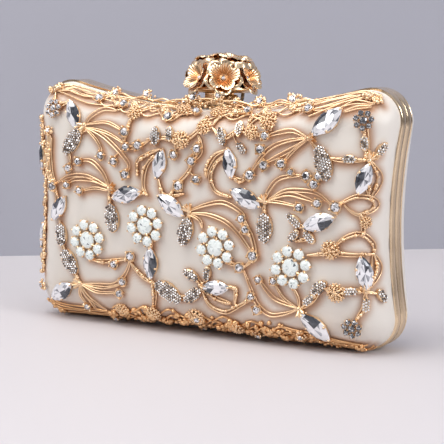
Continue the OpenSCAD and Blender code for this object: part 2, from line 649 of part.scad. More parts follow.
// Garlands: two wires that twist about each other along an edge
garland_r = 0.8;
garland_mid = 4.2;
garland_swing = 1.6;
garland_turns = [9, 9, 4];
wave_steps = 4;
function top_edge(x) = top_c[1] - sqrt(top_r * top_r - x * x);
function low_edge(x) = low_c[1] + sqrt(low_r * low_r - x * x);
function left_edge(z) = -side_c[0] + sqrt(side_r * side_r - (z - side_z) * (z - side_z));
garland_share = 0.86;
module garland(kind, phase) {
    steps = garland_turns[kind] * wave_steps;
    path = [for (i = [0:steps])
        let (
            s = 2 * i / steps - 1,
            a = 180 * garland_turns[kind] * s + phase,
            d = garland_mid + garland_swing * sin(a),
            h = under + garland_r + 0.2 * garland_r * cos(a),
            x = kind == 2 ? left_edge(side_z + s * garland_share * side_half) + d
                : s * garland_share * half_w,
            z = kind == 0 ? top_edge(x) - d : kind == 1 ? low_edge(x) + d
                : side_z + s * garland_share * side_half
        )
        front_point(x / half_w, z / case_h, h)];
    wire(path, garland_r, garland_r);
}
garland_phases = [90, 270];
module top_garland() piece(gold) for (a = garland_phases) garland(0, a);
module bottom_garland() piece(gold) for (a = garland_phases) garland(1, a);
module left_garland() piece(gold) for (a = garland_phases) garland(2, a);

// Cast blossoms: u, v and size share
blossom_rows_share = [
    [-0.35, 0.87, 1], [0.06, 0.83, 1], [0.40, 0.86, 1.1], [0.74, 0.40, 1.1],
    [0.89, 0.51, 0.7], [-0.06, 0.78, 1.1], [0.32, 0.82, 0.9], [0.77, 0.24, 1.1],
    [0.02, 0.09, 1.1], [-0.42, 0.08, 0.9], [-0.23, 0.08, 1], [0.23, 0.06, 1],
    [-0.10, 0.885, 0.9], [0.10, 0.88, 0.9]
];
blossom_r = 4;
blossom_h = 3.1;
blossom_n = 10;
module gold_blossoms() piece(gold)
    for (q = blossom_rows_share) seat(q[0], q[1], 30)
        translate([0, 0, under]) flower(blossom_shares, blossom_r * q[2], blossom_h, blossom_n);

// Round stones in soldered cups: u, v and size share
round_rows_share = [
    [-0.59, 0.92, 1], [-0.44, 0.90, 1], [-0.39, 0.80, 1], [-0.38, 0.74, 0.9],
    [-0.31, 0.75, 1], [-0.16, 0.86, 1.1], [-0.53, 0.70, 0.9], [-0.45, 0.68, 0.9],
    [-0.38, 0.63, 1], [-0.67, 0.67, 0.9], [-0.73, 0.64, 0.9], [-0.83, 0.56, 1],
    [-0.74, 0.57, 0.8], [-0.66, 0.55, 0.8], [-0.10, 0.72, 0.9], [0.00, 0.70, 1],
    [0.03, 0.75, 1], [-0.07, 0.60, 1.1], [0.03, 0.63, 0.9], [-0.02, 0.88, 0.9],
    [0.26, 0.89, 1], [0.59, 0.91, 1], [0.39, 0.81, 0.9], [0.37, 0.76, 1],
    [0.39, 0.70, 1], [0.48, 0.71, 1], [0.53, 0.68, 0.7], [0.32, 0.66, 1.1],
    [0.61, 0.67, 1], [0.65, 0.64, 1], [0.67, 0.67, 0.8], [0.76, 0.56, 1.1],
    [0.67, 0.57, 0.9], [0.58, 0.55, 0.9], [0.28, 0.49, 0.9], [0.30, 0.45, 0.9],
    [0.34, 0.35, 1.1], [0.27, 0.30, 1], [0.37, 0.26, 0.8], [0.45, 0.26, 0.8],
    [0.33, 0.19, 0.8], [0.36, 0.14, 0.9], [-0.35, 0.30, 1], [-0.45, 0.26, 0.9],
    [-0.40, 0.19, 0.9], [-0.42, 0.14, 0.9], [-0.64, 0.07, 0.8]
];
blossom_stone_shares = [5, 7, 8];
cup_wall = 0.25;
crown_h = 1.1;
module stone_cups() piece(gold)
    for (q = round_rows_share) seat(q[0], q[1], 0) translate([0, 0, under])
        cylinder(r = stone_r * q[2] + cup_wall, h = seat_h - under, $fn = 8);
module round_cut(r) {
    cylinder(r1 = r, r2 = 0.6 * r, h = crown_h, $fn = 16);
}
module round_stones() piece(crystal) {
    for (q = round_rows_share) seat(q[0], q[1], 0) translate([0, 0, seat_h])
        round_cut(stone_r * q[2]);
    for (i = blossom_stone_shares) seat(blossom_rows_share[i][0], blossom_rows_share[i][1], 0)
        translate([0, 0, under + blossom_h * blossom_shares[3][1]]) round_cut(stone_r * 0.9);
}

// Marquise stones: u, v, turn and size share
marquise_rows_share = [
    [-0.71, 0.86, -66, 0.9], [-0.92, 0.68, -95, 0.8], [-0.18, 0.68, -102, 0.86],
    [0.21, 0.70, -80, 0.84], [-0.37, 0.55, 14, 1], [-0.11, 0.52, -32, 1],
    [0.30, 0.57, -25, 1], [-0.79, 0.47, -122, 0.86], [-0.93, 0.34, -92, 0.76],
    [-0.23, 0.28, -90, 0.92], [-0.79, 0.12, -146, 1], [0.14, 0.21, 6, 0.86],
    [0.70, 0.87, -134, 1.05], [0.88, 0.67, -112, 0.86], [0.68, 0.50, 20, 0.96],
    [0.89, 0.32, -74, 0.94], [0.66, 0.10, -46, 1.05]
];
// Quarter outline of a pointed oval, as shares of its half length and half width
navette_shares = [[1, 0], [0.62, 0.52], [0.25, 0.93]];
function navette(l, w) =
    let (q = [for (p = navette_shares) [p[0] * l / 2, p[1] * w / 2]])
    concat(
        q, [for (i = [2:-1:1]) [-q[i][0], q[i][1]]],
        [[-q[0][0], 0]], [for (i = [1:2]) [-q[i][0], -q[i][1]]], [for (i = [2:-1:1]) [q[i][0], -q[i][1]]]
    );
table_share = 0.55;
module marquise_settings() piece(gold)
    for (q = marquise_rows_share) seat(q[0], q[1], q[2]) translate([0, 0, under])
        linear_extrude(seat_h - under)
        polygon(navette(marquise_l * q[3] + 4 * cup_wall, marquise_w * q[3] + 2 * cup_wall));
module marquise_stones() piece(crystal)
    for (q = marquise_rows_share) seat(q[0], q[1], q[2]) translate([0, 0, seat_h])
        linear_extrude(marquise_h, scale = table_share)
        polygon(navette(marquise_l * q[3], marquise_w * q[3]));

// Leaves set with small grains: u, v, turn and size share
leaf_rows_share = [
    [-0.71, 0.75, -126, 1], [-0.21, 0.79, -88, 0.62], [-0.13, 0.80, -82, 0.5],
    [0.16, 0.80, -72, 0.6], [0.25, 0.83, -90, 0.5], [0.27, 0.76, -50, 0.4],
    [-0.46, 0.45, -84, 0.95], [-0.03, 0.42, -105, 0.95], [0.40, 0.46, -88, 0.95],
    [0.69, 0.72, -73, 1.05], [-0.78, 0.36, -88, 0.8], [-0.73, 0.25, -56, 0.95],
    [-0.13, 0.17, -28, 1.05], [0.01, 0.17, 36, 0.75], [0.00, 0.25, -24, 0.6],
    [0.09, 0.26, -94, 0.5], [0.55, 0.50, -40, 0.55], [0.63, 0.44, 134, 0.5],
    [0.55, 0.44, 48, 0.5], [0.68, 0.25, 40, 0.62], [0.63, 0.20, 43, 0.5],
    [0.88, 0.80, -84, 0.5], [0.94, 0.78, 32, 0.5], [0.82, 0.74, 0, 0.5],
    [0.84, 0.25, 4, 0.45], [0.95, 0.23, -30, 0.5], [0.90, 0.20, 88, 0.45]
];
leaf_l = 14.5;
leaf_wide = 6;
module leaf_plates() piece(gold)
    for (q = leaf_rows_share) seat(q[0], q[1], q[2]) translate([0, 0, under])
        linear_extrude(seat_h - under) polygon(navette(leaf_l * q[3], leaf_wide * q[3]));
grain_r = 0.62;
grain_h = 0.6;
grain_pitch = 1.75;
module pave_grains() piece(crystal)
    for (q = leaf_rows_share) seat(q[0], q[1], q[2]) translate([0, 0, seat_h])
        let (nx = floor(leaf_l * q[3] / 2 / grain_pitch), ny = floor(leaf_wide * q[3] / 2 / grain_pitch))
        for (i = [-nx:nx], j = [-ny:ny])
            let (
                x = i * grain_pitch + (abs(j) % 2) * grain_pitch / 2,
                y = j * grain_pitch * 0.87,
                px = abs(x) / (leaf_l * q[3] / 2),
                py = (abs(y) + grain_r) / (leaf_wide * q[3] / 2)
            )
            if (px + 0.62 * py * py + 0.1 * py < 0.92) translate([x, y, 0])
                cylinder(r = grain_r, h = grain_h, $fn = 6);

// Opal flowers: u and v, with eight petals round a larger middle stone
opal_rows_share = [[-0.61, 0.35], [-0.26, 0.43], [0.14, 0.37], [0.54, 0.32]];
opal_n = 8;
opal_dome = 1.4;
middle_share = 1.62;
smoky_rows_share = [[-0.84, 0.88], [0.87, 0.88], [0.84, 0.11]];
smoky_n = 7;
smoky_ring_r = 3.7;
smoky_r = 1.45;
flower_plate_t = 0.9;
module flower_plates() piece(gold) {
    for (q = opal_rows_share) seat(q[0], q[1], 0) translate([0, 0, seat_h - flower_plate_t])
        cylinder(r = opal_ring_r + 0.7 * petal_r, h = flower_plate_t, $fn = 12);
    for (q = smoky_rows_share) seat(q[0], q[1], 0) translate([0, 0, seat_h - flower_plate_t])
        cylinder(r = smoky_ring_r + 0.7 * smoky_r, h = flower_plate_t, $fn = 10);
}
module cabochon(r) {
    ball_r = (r * r + opal_dome * opal_dome) / (2 * opal_dome);
    intersection() {
        translate([0, 0, opal_dome - ball_r]) sphere(r = ball_r, $fn = 32);
        translate([0, 0, ball_r]) cube(2 * ball_r, center = true);
    }
}
module opal_flower(i) piece(opal) seat(opal_rows_share[i][0], opal_rows_share[i][1], 12)
    translate([0, 0, seat_h]) {
        cabochon(petal_r * middle_share);
        for (k = [0:opal_n - 1]) rotate([0, 0, 360 * k / opal_n])
            translate([opal_ring_r, 0, 0]) cabochon(petal_r);
    }
module smoky_flower(i) piece(smoke) seat(smoky_rows_share[i][0], smoky_rows_share[i][1], 12)
    translate([0, 0, seat_h]) {
        round_cut(smoky_r * 1.3);
        for (k = [0:smoky_n - 1]) rotate([0, 0, 360 * k / smoky_n])
            translate([smoky_ring_r, 0, 0]) round_cut(smoky_r);
    }
module opal_flower_1() opal_flower(0);
module opal_flower_2() opal_flower(1);
module opal_flower_3() opal_flower(2);
module opal_flower_4() opal_flower(3);
module smoky_flower_1() smoky_flower(0);
module smoky_flower_2() smoky_flower(1);
module smoky_flower_3() smoky_flower(2);

rear_frame();
rear_shell();
rear_cover();
rear_lining();
front_frame();
front_shell();
front_cover();
front_lining();
hinge_leaf_rear();
hinge_leaf_front();
hinge_pin();
chain_lug_left();
chain_lug_right();
clasp_bracket();
clasp_pin();
clasp_spring();
clasp_plate();
catch_tongue();
knob_core();
rose_front_left();
rose_front_right();
rose_left();
rose_right();
rose_back_left();
rose_back_right();
rose_top_left();
rose_top_right();
rose_crystals();
filigree_net();
top_garland();
bottom_garland();
left_garland();
gold_blossoms();
stone_cups();
marquise_settings();
leaf_plates();
flower_plates();
round_stones();
marquise_stones();
pave_grains();
opal_flower_1();
opal_flower_2();
opal_flower_3();
opal_flower_4();
smoky_flower_1();
smoky_flower_2();
smoky_flower_3();
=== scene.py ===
import json
import math
import random
from contextlib import contextmanager

import bpy
import numpy as np
from mathutils import Matrix, Vector
from mathutils.kdtree import KDTree


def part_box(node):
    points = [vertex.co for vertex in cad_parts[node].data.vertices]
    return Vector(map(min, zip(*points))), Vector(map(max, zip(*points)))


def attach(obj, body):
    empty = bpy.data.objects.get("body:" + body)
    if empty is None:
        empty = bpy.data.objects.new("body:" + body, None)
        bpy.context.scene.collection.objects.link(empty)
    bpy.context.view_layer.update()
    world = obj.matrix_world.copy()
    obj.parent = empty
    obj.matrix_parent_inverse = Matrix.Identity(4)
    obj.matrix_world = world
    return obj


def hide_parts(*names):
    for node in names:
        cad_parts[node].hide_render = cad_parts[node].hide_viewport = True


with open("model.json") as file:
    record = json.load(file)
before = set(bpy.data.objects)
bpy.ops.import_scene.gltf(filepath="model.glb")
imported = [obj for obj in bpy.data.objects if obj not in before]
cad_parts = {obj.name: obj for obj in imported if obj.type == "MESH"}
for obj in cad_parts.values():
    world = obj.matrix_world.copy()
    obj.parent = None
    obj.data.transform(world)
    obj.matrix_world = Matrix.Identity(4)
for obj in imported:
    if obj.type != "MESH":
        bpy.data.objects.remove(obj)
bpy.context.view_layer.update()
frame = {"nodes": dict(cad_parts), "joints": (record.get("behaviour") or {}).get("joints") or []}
MM = 0.001

# ------------------------------
# The table-top studio: a pale table, a lilac-grey card behind it and soft lamps.
# The camera stands in front on the clutch's right, a little above it, with a long lens.
# ------------------------------


def tone(red, green, blue):
    """A colour as a monitor shows it, 0 to 255, turned into the linear values that shaders take."""
    levels = [c / 255 for c in (red, green, blue)]
    return [c / 12.92 if c <= 0.04045 else ((c + 0.055) / 1.055) ** 2.4 for c in levels] + [1]


def new_material(name, colour, roughness, metallic=0.0):
    """A material with its shader's plain values set, ready for its nodes."""
    material = bpy.data.materials.new(name)
    material.use_nodes = True
    shader = material.node_tree.nodes["Principled BSDF"]
    shader.inputs["Base Color"].default_value = colour
    shader.inputs["Roughness"].default_value = roughness
    shader.inputs["Metallic"].default_value = metallic
    return material, material.node_tree, shader


def fill(node, *firsts, **named):
    """Fills a node's sockets, in order or by name. A value that is a socket itself is linked."""
    sockets = list(zip(node.inputs, firsts))
    sockets += [(node.inputs[label.replace("_", " ")], value) for label, value in named.items()]
    for socket, value in sockets:
        if isinstance(value, bpy.types.NodeSocket):
            node.id_data.links.new(value, socket)
        else:
            socket.default_value = value


def add_node(tree, kind, *firsts, out=None, **settings):
    """Adds a shader node and gives back one output, the first in use unless out names another.
    Settings in lower case are fields of the node, and all others are its sockets."""
    node = tree.nodes.new("ShaderNode" + kind)
    for field in [name for name in settings if name.islower()]:
        setattr(node, field, settings.pop(field))
    fill(node, *firsts, **settings)
    return node.outputs[out] if out else next(socket for socket in node.outputs if socket.enabled)


def mixed(tree, share, first, second):
    """A colour between two others."""
    return add_node(tree, "Mix", data_type="RGBA", Factor=share, A=first, B=second)


def new_shape(add, name, **settings):
    """One of Blender's own shapes as a new object, with nothing else selected."""
    bpy.ops.object.select_all(action="DESELECT")
    add(**settings)
    bpy.context.object.name = name
    return bpy.context.object


camera_place = Vector((335.5, -599.45, 146.5)) * MM
camera_yaw = math.radians(29.16)
camera_pitch = math.radians(7.16)
camera_roll = math.radians(0.61)
camera_lens = 109.87
camera_shift = (0.00887, -0.02196)

ahead = Vector((
    -math.sin(camera_yaw) * math.cos(camera_pitch),
    math.cos(camera_yaw) * math.cos(camera_pitch),
    -math.sin(camera_pitch),
))
across = Vector((math.cos(camera_yaw), math.sin(camera_yaw), 0))
upward = across.cross(ahead)
rolled_across = math.cos(camera_roll) * across + math.sin(camera_roll) * upward
rolled_up = -math.sin(camera_roll) * across + math.cos(camera_roll) * upward

camera = new_shape(bpy.ops.object.camera_add, "photo_camera", location=camera_place)
camera.matrix_world = Matrix.Translation(camera_place) @ Matrix(
    (rolled_across, rolled_up, -ahead)).transposed().to_4x4()
camera.data.lens = camera_lens
camera.data.shift_x, camera.data.shift_y = camera_shift
camera.data.clip_start = 0.01
bpy.context.scene.camera = camera

level_ahead = Vector((-math.sin(camera_yaw), math.cos(camera_yaw), 0))
card_distance = 0.942
card_foot = Vector((camera_place.x, camera_place.y, 0)) + level_ahead * card_distance
table_reach = 1.6
card_turn = math.radians(10)
card_height = 1.2
stage_gap = 0.0004

table_paint, tree, shader = new_material("table_paint", tone(208, 204, 206), 0.55)
place = add_node(tree, "TexCoord", out="Object")
clouds = add_node(tree, "TexNoise", Vector=place, Scale=3.0)
fill(shader, Base_Color=mixed(tree, clouds, tone(205, 201, 204), tone(212, 208, 210)))
table = new_shape(bpy.ops.mesh.primitive_plane_add, "table", size=2 * table_reach,
                  location=(0, 0, -stage_gap))
bpy.ops.object.transform_apply(location=True)
table.data.materials.append(table_paint)

# The card can be seen through from behind, so that it hides nothing in views from there
card_paint, tree, shader = new_material("card_paint", tone(166, 167, 177), 0.8)
from_behind = add_node(tree, "NewGeometry", out="Backfacing")
one_sided = add_node(tree, "MixShader", from_behind, shader.outputs["BSDF"],
                     add_node(tree, "BsdfTransparent"))
fill(tree.nodes["Material Output"], Surface=one_sided)
card = new_shape(bpy.ops.mesh.primitive_plane_add, "backdrop_card", size=1)
card.scale = (2 * table_reach, card_height, 1)
card.rotation_euler = (math.pi / 2, 0, camera_yaw + card_turn)
card.location = card_foot + Vector((0, 0, card_height / 2 - 2 * stage_gap))
bpy.ops.object.transform_apply(location=True, rotation=True, scale=True)
card.data.materials.append(card_paint)


def add_lamp(name, place, aim, size, watts, colour):
    """A square soft lamp that looks from its place at its aim."""
    lamp = new_shape(bpy.ops.object.light_add, name, type="AREA", location=place)
    lamp.data.size = size
    lamp.data.energy = watts
    lamp.data.color = colour
    lamp.rotation_euler = (Vector(aim) - Vector(place)).to_track_quat("-Z", "Y").to_euler()


add_lamp("top_lamp", (-0.1, -0.2, 0.95), (0, 0, 0.05), 0.6, 5.4, (1, 0.98, 0.96))
add_lamp("left_lamp", (-0.5, -0.8, 0.68), (0, 0, 0.07), 0.6, 4.1, (1, 0.98, 0.95))
add_lamp("right_lamp", (0.9, -0.2, 0.5), (0, 0, 0.07), 0.4, 4.2, (0.99, 0.98, 1))

# The room's own light, paler overhead than at the level of the table
world = bpy.data.worlds.new("studio_room")
bpy.context.scene.world = world
world.use_nodes = True
tree = world.node_tree
view_way = add_node(tree, "TexCoord", out="Generated")
upward_share = add_node(tree, "MapRange", interpolation_type="SMOOTHSTEP", From_Min=0.0, From_Max=0.45,
                        Value=add_node(tree, "SeparateXYZ", view_way, out="Z"))
room_strength = 0.58
fill(tree.nodes["Background"], Strength=room_strength,
     Color=mixed(tree, upward_share, tone(150, 147, 150), tone(232, 232, 238)))
bpy.context.scene.view_settings.view_transform = "Standard"

# ------------------------------
# The two frame bands: drawn brass strip, bent round the shell and soldered at the foot.
# Each band is softly crowned between two rolled edges, brushed along its length, pale gold.
# ------------------------------


def select_only(*pieces):
    """Selects these pieces alone and makes the first of them active."""
    bpy.ops.object.select_all(action="DESELECT")
    for piece in pieces:
        piece.select_set(True)
    bpy.context.view_layer.objects.active = pieces[0]


@contextmanager
def editing(first="SELECT"):
    """Edit mode for the active piece, with everything selected first, or nothing, or as it was."""
    bpy.ops.object.mode_set(mode="EDIT")
    if first:
        bpy.ops.mesh.select_all(action=first)
    yield
    bpy.ops.object.mode_set(mode="OBJECT")


def shade_smooth(degrees):
    """Smooth shading for the selected piece, but for edges sharper than the given angle."""
    bpy.ops.object.shade_smooth_by_angle(angle=math.radians(degrees))


def copy_of(node, name):
    """A copy of a CAD node to be worked on, its loose triangles welded together."""
    piece = bpy.data.objects.new(name, frame["nodes"][node].data.copy())
    bpy.context.scene.collection.objects.link(piece)
    piece.data.materials.clear()
    select_only(piece)
    with editing():
        bpy.ops.mesh.remove_doubles(threshold=weld_gap)
    return piece


def finish_piece(piece, material, body, slot, *stands_for):
    """Gives a finished piece its material, its body, its slot and the CAD nodes it stands for."""
    piece.data.materials.clear()
    piece.data.materials.append(material)
    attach(piece, body)
    if stands_for:
        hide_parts(*stands_for)


weld_gap = 0.002 * MM
seam = frame["joints"][0]["pos_m"][1]
half_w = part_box("rear_frame")[1].x
case_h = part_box("rear_frame")[1].z
corner_r = 16 * MM
top_dip = 11.3 * MM
bottom_rise = 2.5 * MM
side_dip = 4.3 * MM
foot_flat = 0.15 * MM
band_t = 1.2 * MM
band_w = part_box("rear_frame")[1].y - seam

corner_x = half_w - corner_r
high_z = case_h - corner_r
low_z = corner_r - foot_flat
side_half = (high_z - low_z) / 2
side_z = (high_z + low_z) / 2


def hollow_r(half, sag):
    """Radius of the long hollow arc that runs into two corner arcs."""
    return (half * half + sag * sag - corner_r * corner_r) / (2 * (corner_r - sag))


top_r = hollow_r(corner_x, corner_r - top_dip)
low_r = hollow_r(corner_x, low_z - bottom_rise)
side_r = hollow_r(side_half, corner_r - side_dip)
top_c = (0, case_h - top_dip + top_r)
low_c = (0, bottom_rise - low_r)
side_c = (half_w - side_dip + side_r, side_z)
top_a = math.atan2(top_c[1] - high_z, -corner_x)
low_a = math.atan2(low_c[1] - low_z, -corner_x)
side_a = math.atan2(side_half, side_c[0] - corner_x)


def inset(x, z):
    """How far a point of the front view lies inside the clutch's outline."""
    x = abs(x)
    above = (x - corner_x, z - high_z)
    below = (x - corner_x, z - low_z)
    if -side_a <= math.atan2(above[1], above[0]) <= top_a:
        return corner_r - math.hypot(*above)
    if low_a <= math.atan2(below[1], below[0]) <= side_a:
        return corner_r - math.hypot(*below)
    return min(
        math.hypot(x - top_c[0], z - top_c[1]) - top_r,
        math.hypot(x - low_c[0], z - low_c[1]) - low_r,
        math.hypot(x - side_c[0], z - side_c[1]) - side_r,
    )


def inward(x, z, step=0.05 * MM):
    """The direction in the front view in which a point gets deeper inside the outline."""
    slope = Vector((
        inset(x + step, z) - inset(x - step, z),
        0,
        inset(x, z + step) - inset(x, z - step),
    ))
    return slope.normalized()


def metal_grain_group():
    """Plated metal seen close: fine scratches along one way, faint stains, and thin wear."""
    group = bpy.data.node_groups.new("metal_grain", "ShaderNodeTree")
    for way, sockets in (
        ("INPUT", "Colour Color, Stain Color, Stain Share Float, Stain Scale Float, Grain Stretch Vector, "
                  "Grain Scale Float, Smooth Roughness Float, Rough Roughness Float"),
        ("OUTPUT", "Colour Color, Roughness Float, Height Float"),
    ):
        for socket in sockets.split(", "):
            label, kind = socket.rsplit(" ", 1)
            group.interface.new_socket(label, in_out=way, socket_type="NodeSocket" + kind)
    given = group.nodes.new("NodeGroupInput").outputs
    place = add_node(group, "TexCoord", out="Object")
    stretched = add_node(group, "VectorMath", place, given["Grain Stretch"], operation="MULTIPLY")
    grain = add_node(group, "TexNoise", Vector=stretched, Scale=given["Grain Scale"], Detail=3.0)
    stain = add_node(group, "TexNoise", Vector=place, Scale=given["Stain Scale"], Detail=4.0)
    spread = add_node(group, "MapRange", Value=stain, From_Min=0.45, From_Max=0.75,
                      To_Max=given["Stain Share"])
    rough = add_node(group, "MapRange", Value=grain, To_Min=given["Smooth Roughness"],
                     To_Max=given["Rough Roughness"])
    fill(group.nodes.new("NodeGroupOutput"), Roughness=rough, Height=grain,
         Colour=mixed(group, spread, given["Colour"], given["Stain"]))
    return group


metal_grain = metal_grain_group()


def metal(name, colour, stain, stain_share=0.25, stain_scale=90.0, stretch=(1, 1, 1), grain_scale=1500.0,
          smooth=0.18, rough=0.32, relief=0.02):
    """A plated metal with the shared grain in it."""
    material, tree, shader = new_material(name, colour, smooth, metallic=1.0)
    grain = tree.nodes.new("ShaderNodeGroup")
    grain.node_tree = metal_grain
    fill(grain, colour, stain, stain_share, stain_scale, stretch, grain_scale, smooth, rough)
    bump = add_node(tree, "Bump", Strength=relief, Distance=0.1 * MM, Height=grain.outputs["Height"])
    fill(shader, Base_Color=grain.outputs["Colour"], Roughness=grain.outputs["Roughness"], Normal=bump)
    return material


band_metal = metal("champagne_band", tone(244, 220, 186), tone(160, 126, 92), stain_share=0.4,
                   stain_scale=35.0, stretch=(0.25, 6, 0.25), grain_scale=900.0, smooth=0.12, rough=0.22)

# How far the band's face lies in at each distance from the seam, in millimetres
band_profile = [
    (0.15, 0.42), (0.3, 0.14), (0.5, 0.0), (0.8, 0.04), (1.05, 0.48), (1.35, 0.36), (2.3, 0.16),
    (3.3, 0.1), (4.3, 0.16), (5.15, 0.38), (5.4, 0.5), (5.65, 0.1), (5.9, 0.0), (6.2, 0.1), (6.5, 0.5),
]
wall_slack = 0.02 * MM


def roll_band(node, name, side, body):
    """Rolls the crown and the two edge beads into the plain wall of a band."""
    band = copy_of(node, name)
    with editing():
        bpy.ops.mesh.dissolve_limited(angle_limit=math.radians(0.5))
        for across_band, _ in band_profile[1:-1]:
            bpy.ops.mesh.select_all(action="SELECT")
            bpy.ops.mesh.bisect(plane_co=(0, seam + side * across_band * MM, 0), plane_no=(0, 1, 0))
    from_seam = [across_band * MM for across_band, _ in band_profile]
    lies_in = [depth_in * MM for _, depth_in in band_profile]
    for vertex in band.data.vertices:
        x, y, z = vertex.co
        if abs(inset(x, z)) <= wall_slack:
            vertex.co += inward(x, z) * np.interp(abs(y - seam), from_seam, lies_in)
    shade_smooth(52)
    finish_piece(band, band_metal, body, "frame_metal", node)


roll_band("rear_frame", "rear_band", 1, "rear_half")
roll_band("front_frame", "front_band", -1, "front_half")

# ------------------------------
# The two moulded shells that stiffen the halves: grey-white plastic, hidden by the covers.
# Their shape is the CAD's own; only the finish is added, a fine spark-eroded texture.
# ------------------------------

shell_plastic, tree, shader = new_material("moulded_shell", tone(206, 202, 194), 0.5)
place = add_node(tree, "TexCoord", out="Object")
pits = add_node(tree, "TexNoise", Vector=place, Scale=2500.0)
fill(shader, Roughness=add_node(tree, "MapRange", Value=pits, To_Min=0.42, To_Max=0.6),
     Normal=add_node(tree, "Bump", Strength=0.15, Distance=0.05 * MM, Height=pits))


def keep_node(node, material):
    """Leaves a CAD node as it is and gives it its finish."""
    mesh = frame["nodes"][node].data
    mesh.materials.clear()
    mesh.materials.append(material)


for node in ("rear_shell", "front_shell"):
    keep_node(node, shell_plastic)

# ------------------------------
# The satin covers: ivory duchess satin over thin foam, drawn tight over each shell and tucked
# under the band's rolled edge. The face is crowned, with soft shoulders and lower corners.
# ------------------------------

mid_z = case_h / 2
shell_reach = 18.5 * MM
shoulder = 16 * MM
face_crown = 1.5 * MM
crown_edge = 18 * MM
cover_t = 0.5 * MM
shell_t = 1.4 * MM
lining_t = 0.5 * MM
face_slack = 0.03 * MM
rim_slack = 0.01 * MM
roundness = 2.4
corner_fall = 0.6


def depth(x, z, below=0.0):
    """How far the dished face stands beyond its band, or a surface that lies below it."""
    share = (inset(x, z) - band_t - below) / shoulder
    swell = 0 if share <= 0 else 1 if share >= 1 else (1 - (1 - share) ** roundness) ** (1 / roundness)
    fall = 1 - corner_fall * (abs(x) / half_w) ** 3 * (abs(z - mid_z) / mid_z) ** 3
    far_x = x / (half_w - crown_edge)
    far_z = (z - mid_z) / (mid_z - crown_edge)
    crown = face_crown * max(0, 1 - far_x * far_x - far_z * far_z)
    return (shell_reach - below) * swell * fall + crown


def apply_modifier(piece, kind, **settings):
    """Adds a modifier with the given settings to the active piece and applies it."""
    modifier = piece.modifiers.new("step", kind)
    for field, value in settings.items():
        setattr(modifier, field, value)
    bpy.ops.object.modifier_apply(modifier=modifier.name)


def dish(node, name, side, outside, inside):
    """A fine copy of a dished CAD wall, laid on the smooth face that the CAD's flats stand for."""
    wall = copy_of(node, name)
    mark = wall.data.attributes.new("outer", "FLOAT", "POINT")
    for vertex in wall.data.vertices:
        x, y, z = vertex.co
        mark.data[vertex.index].value = (abs(inset(x, z) - band_t - outside) < face_slack
                                         or abs(abs(y - seam) - band_w - depth(x, z, outside)) < face_slack)
    with editing():
        bpy.ops.mesh.tris_convert_to_quads(face_threshold=math.radians(60), shape_threshold=math.radians(60))
    apply_modifier(wall, "SUBSURF", subdivision_type="SIMPLE", levels=3, render_levels=3)
    marks = [m.value for m in wall.data.attributes["outer"].data]
    for vertex, mark in zip(wall.data.vertices, marks):
        x, y, z = vertex.co
        below = outside + (inside - outside) * (1 - mark)
        if abs(y - seam) <= band_w + rim_slack:
            vertex.co += inward(x, z) * (band_t + below - inset(x, z))
        else:
            vertex.co.y = seam + side * (band_w + depth(x, z, below))
    shade_smooth(50)
    return wall


def choose(piece, parts, rule):
    """Selects only those of a piece's edges or polygons that keep the rule."""
    with editing("DESELECT"):
        bpy.ops.mesh.select_mode(type="EDGE")
    for part in getattr(piece.data, parts):
        part.select = rule(part)


def halve_long_edges(piece, longest, rounds):
    """Finer facets where a piece has long ones, so that its painted shade stays smooth."""
    def is_long(edge):
        first, second = (piece.data.vertices[k].co for k in edge.vertices)
        return (first - second).length > longest

    select_only(piece)
    for _ in range(rounds):
        choose(piece, "edges", is_long)
        with editing(None):
            bpy.ops.mesh.subdivide(number_cuts=1)


def satin_material():
    """Duchess satin: a long-float weave with a broad sheen, drawn into faint waves by the foam.
    The attribute it reads marks painted shade: a warm brown painted beside the gold wires, for their shadows
    and reflected gold light, and near the table."""
    material, tree, shader = new_material("ivory_satin", tone(228, 219, 210), 0.42)
    place = add_node(tree, "TexCoord", out="Object")
    waves = add_node(tree, "TexNoise", Vector=place, Scale=28.0, Detail=2.0)
    ivory = mixed(tree, waves, tone(222, 215, 206), tone(234, 230, 222))
    # Painted shade: a warm brown mixed into the ivory where the front satin's attribute marks shadow and
    # reflected gold light
    painted_shade_mark = add_node(tree, "Attribute", attribute_name="painted_gold_shade", out="Fac")
    painted_shade_share = add_node(tree, "Math", painted_shade_mark, 0.95, operation="MULTIPLY")
    threads = add_node(tree, "TexWave", bands_direction="Z", out="Fac", Vector=place, Scale=900.0,
                       Distortion=1.5)
    drape = add_node(tree, "Bump", Strength=0.18, Distance=1.0 * MM, Height=waves)
    weave = add_node(tree, "Bump", Strength=0.08, Distance=0.05 * MM, Height=threads, Normal=drape)
    fill(shader, Sheen_Weight=0.25, Sheen_Roughness=0.4, Anisotropic=0.15, Normal=weave,
         Base_Color=mixed(tree, painted_shade_share, ivory, tone(182, 130, 87)),
         Roughness=add_node(tree, "MapRange", Value=threads, To_Min=0.36, To_Max=0.5))
    return material


satin = satin_material()
for half, side in (("rear", 1), ("front", -1)):
    cover = dish(half + "_cover", half + "_satin", side, 0, cover_t)
    if half == "front":
        halve_long_edges(cover, longest=2.2 * MM, rounds=2)
    finish_piece(cover, satin, half + "_half", "satin", half + "_cover")

# ------------------------------
# The linings: fawn woven cloth glued inside each shell.
# ------------------------------


def lining_material():
    """Plain weave: two crossed thread waves give the bump, the shade and the matt grain."""
    material, tree, shader = new_material("fawn_lining", tone(160, 138, 112), 0.85)
    place = add_node(tree, "TexCoord", out="Object")
    warp, weft = (add_node(tree, "TexWave", bands_direction=way, out="Fac", Vector=place, Scale=420.0,
                           Distortion=0.6) for way in "XZ")
    cross = add_node(tree, "Math", warp, weft, operation="MAXIMUM")
    fill(shader, Base_Color=mixed(tree, cross, tone(120, 100, 80), tone(172, 150, 124)),
         Normal=add_node(tree, "Bump", Strength=0.3, Distance=0.1 * MM, Height=cross))
    return material


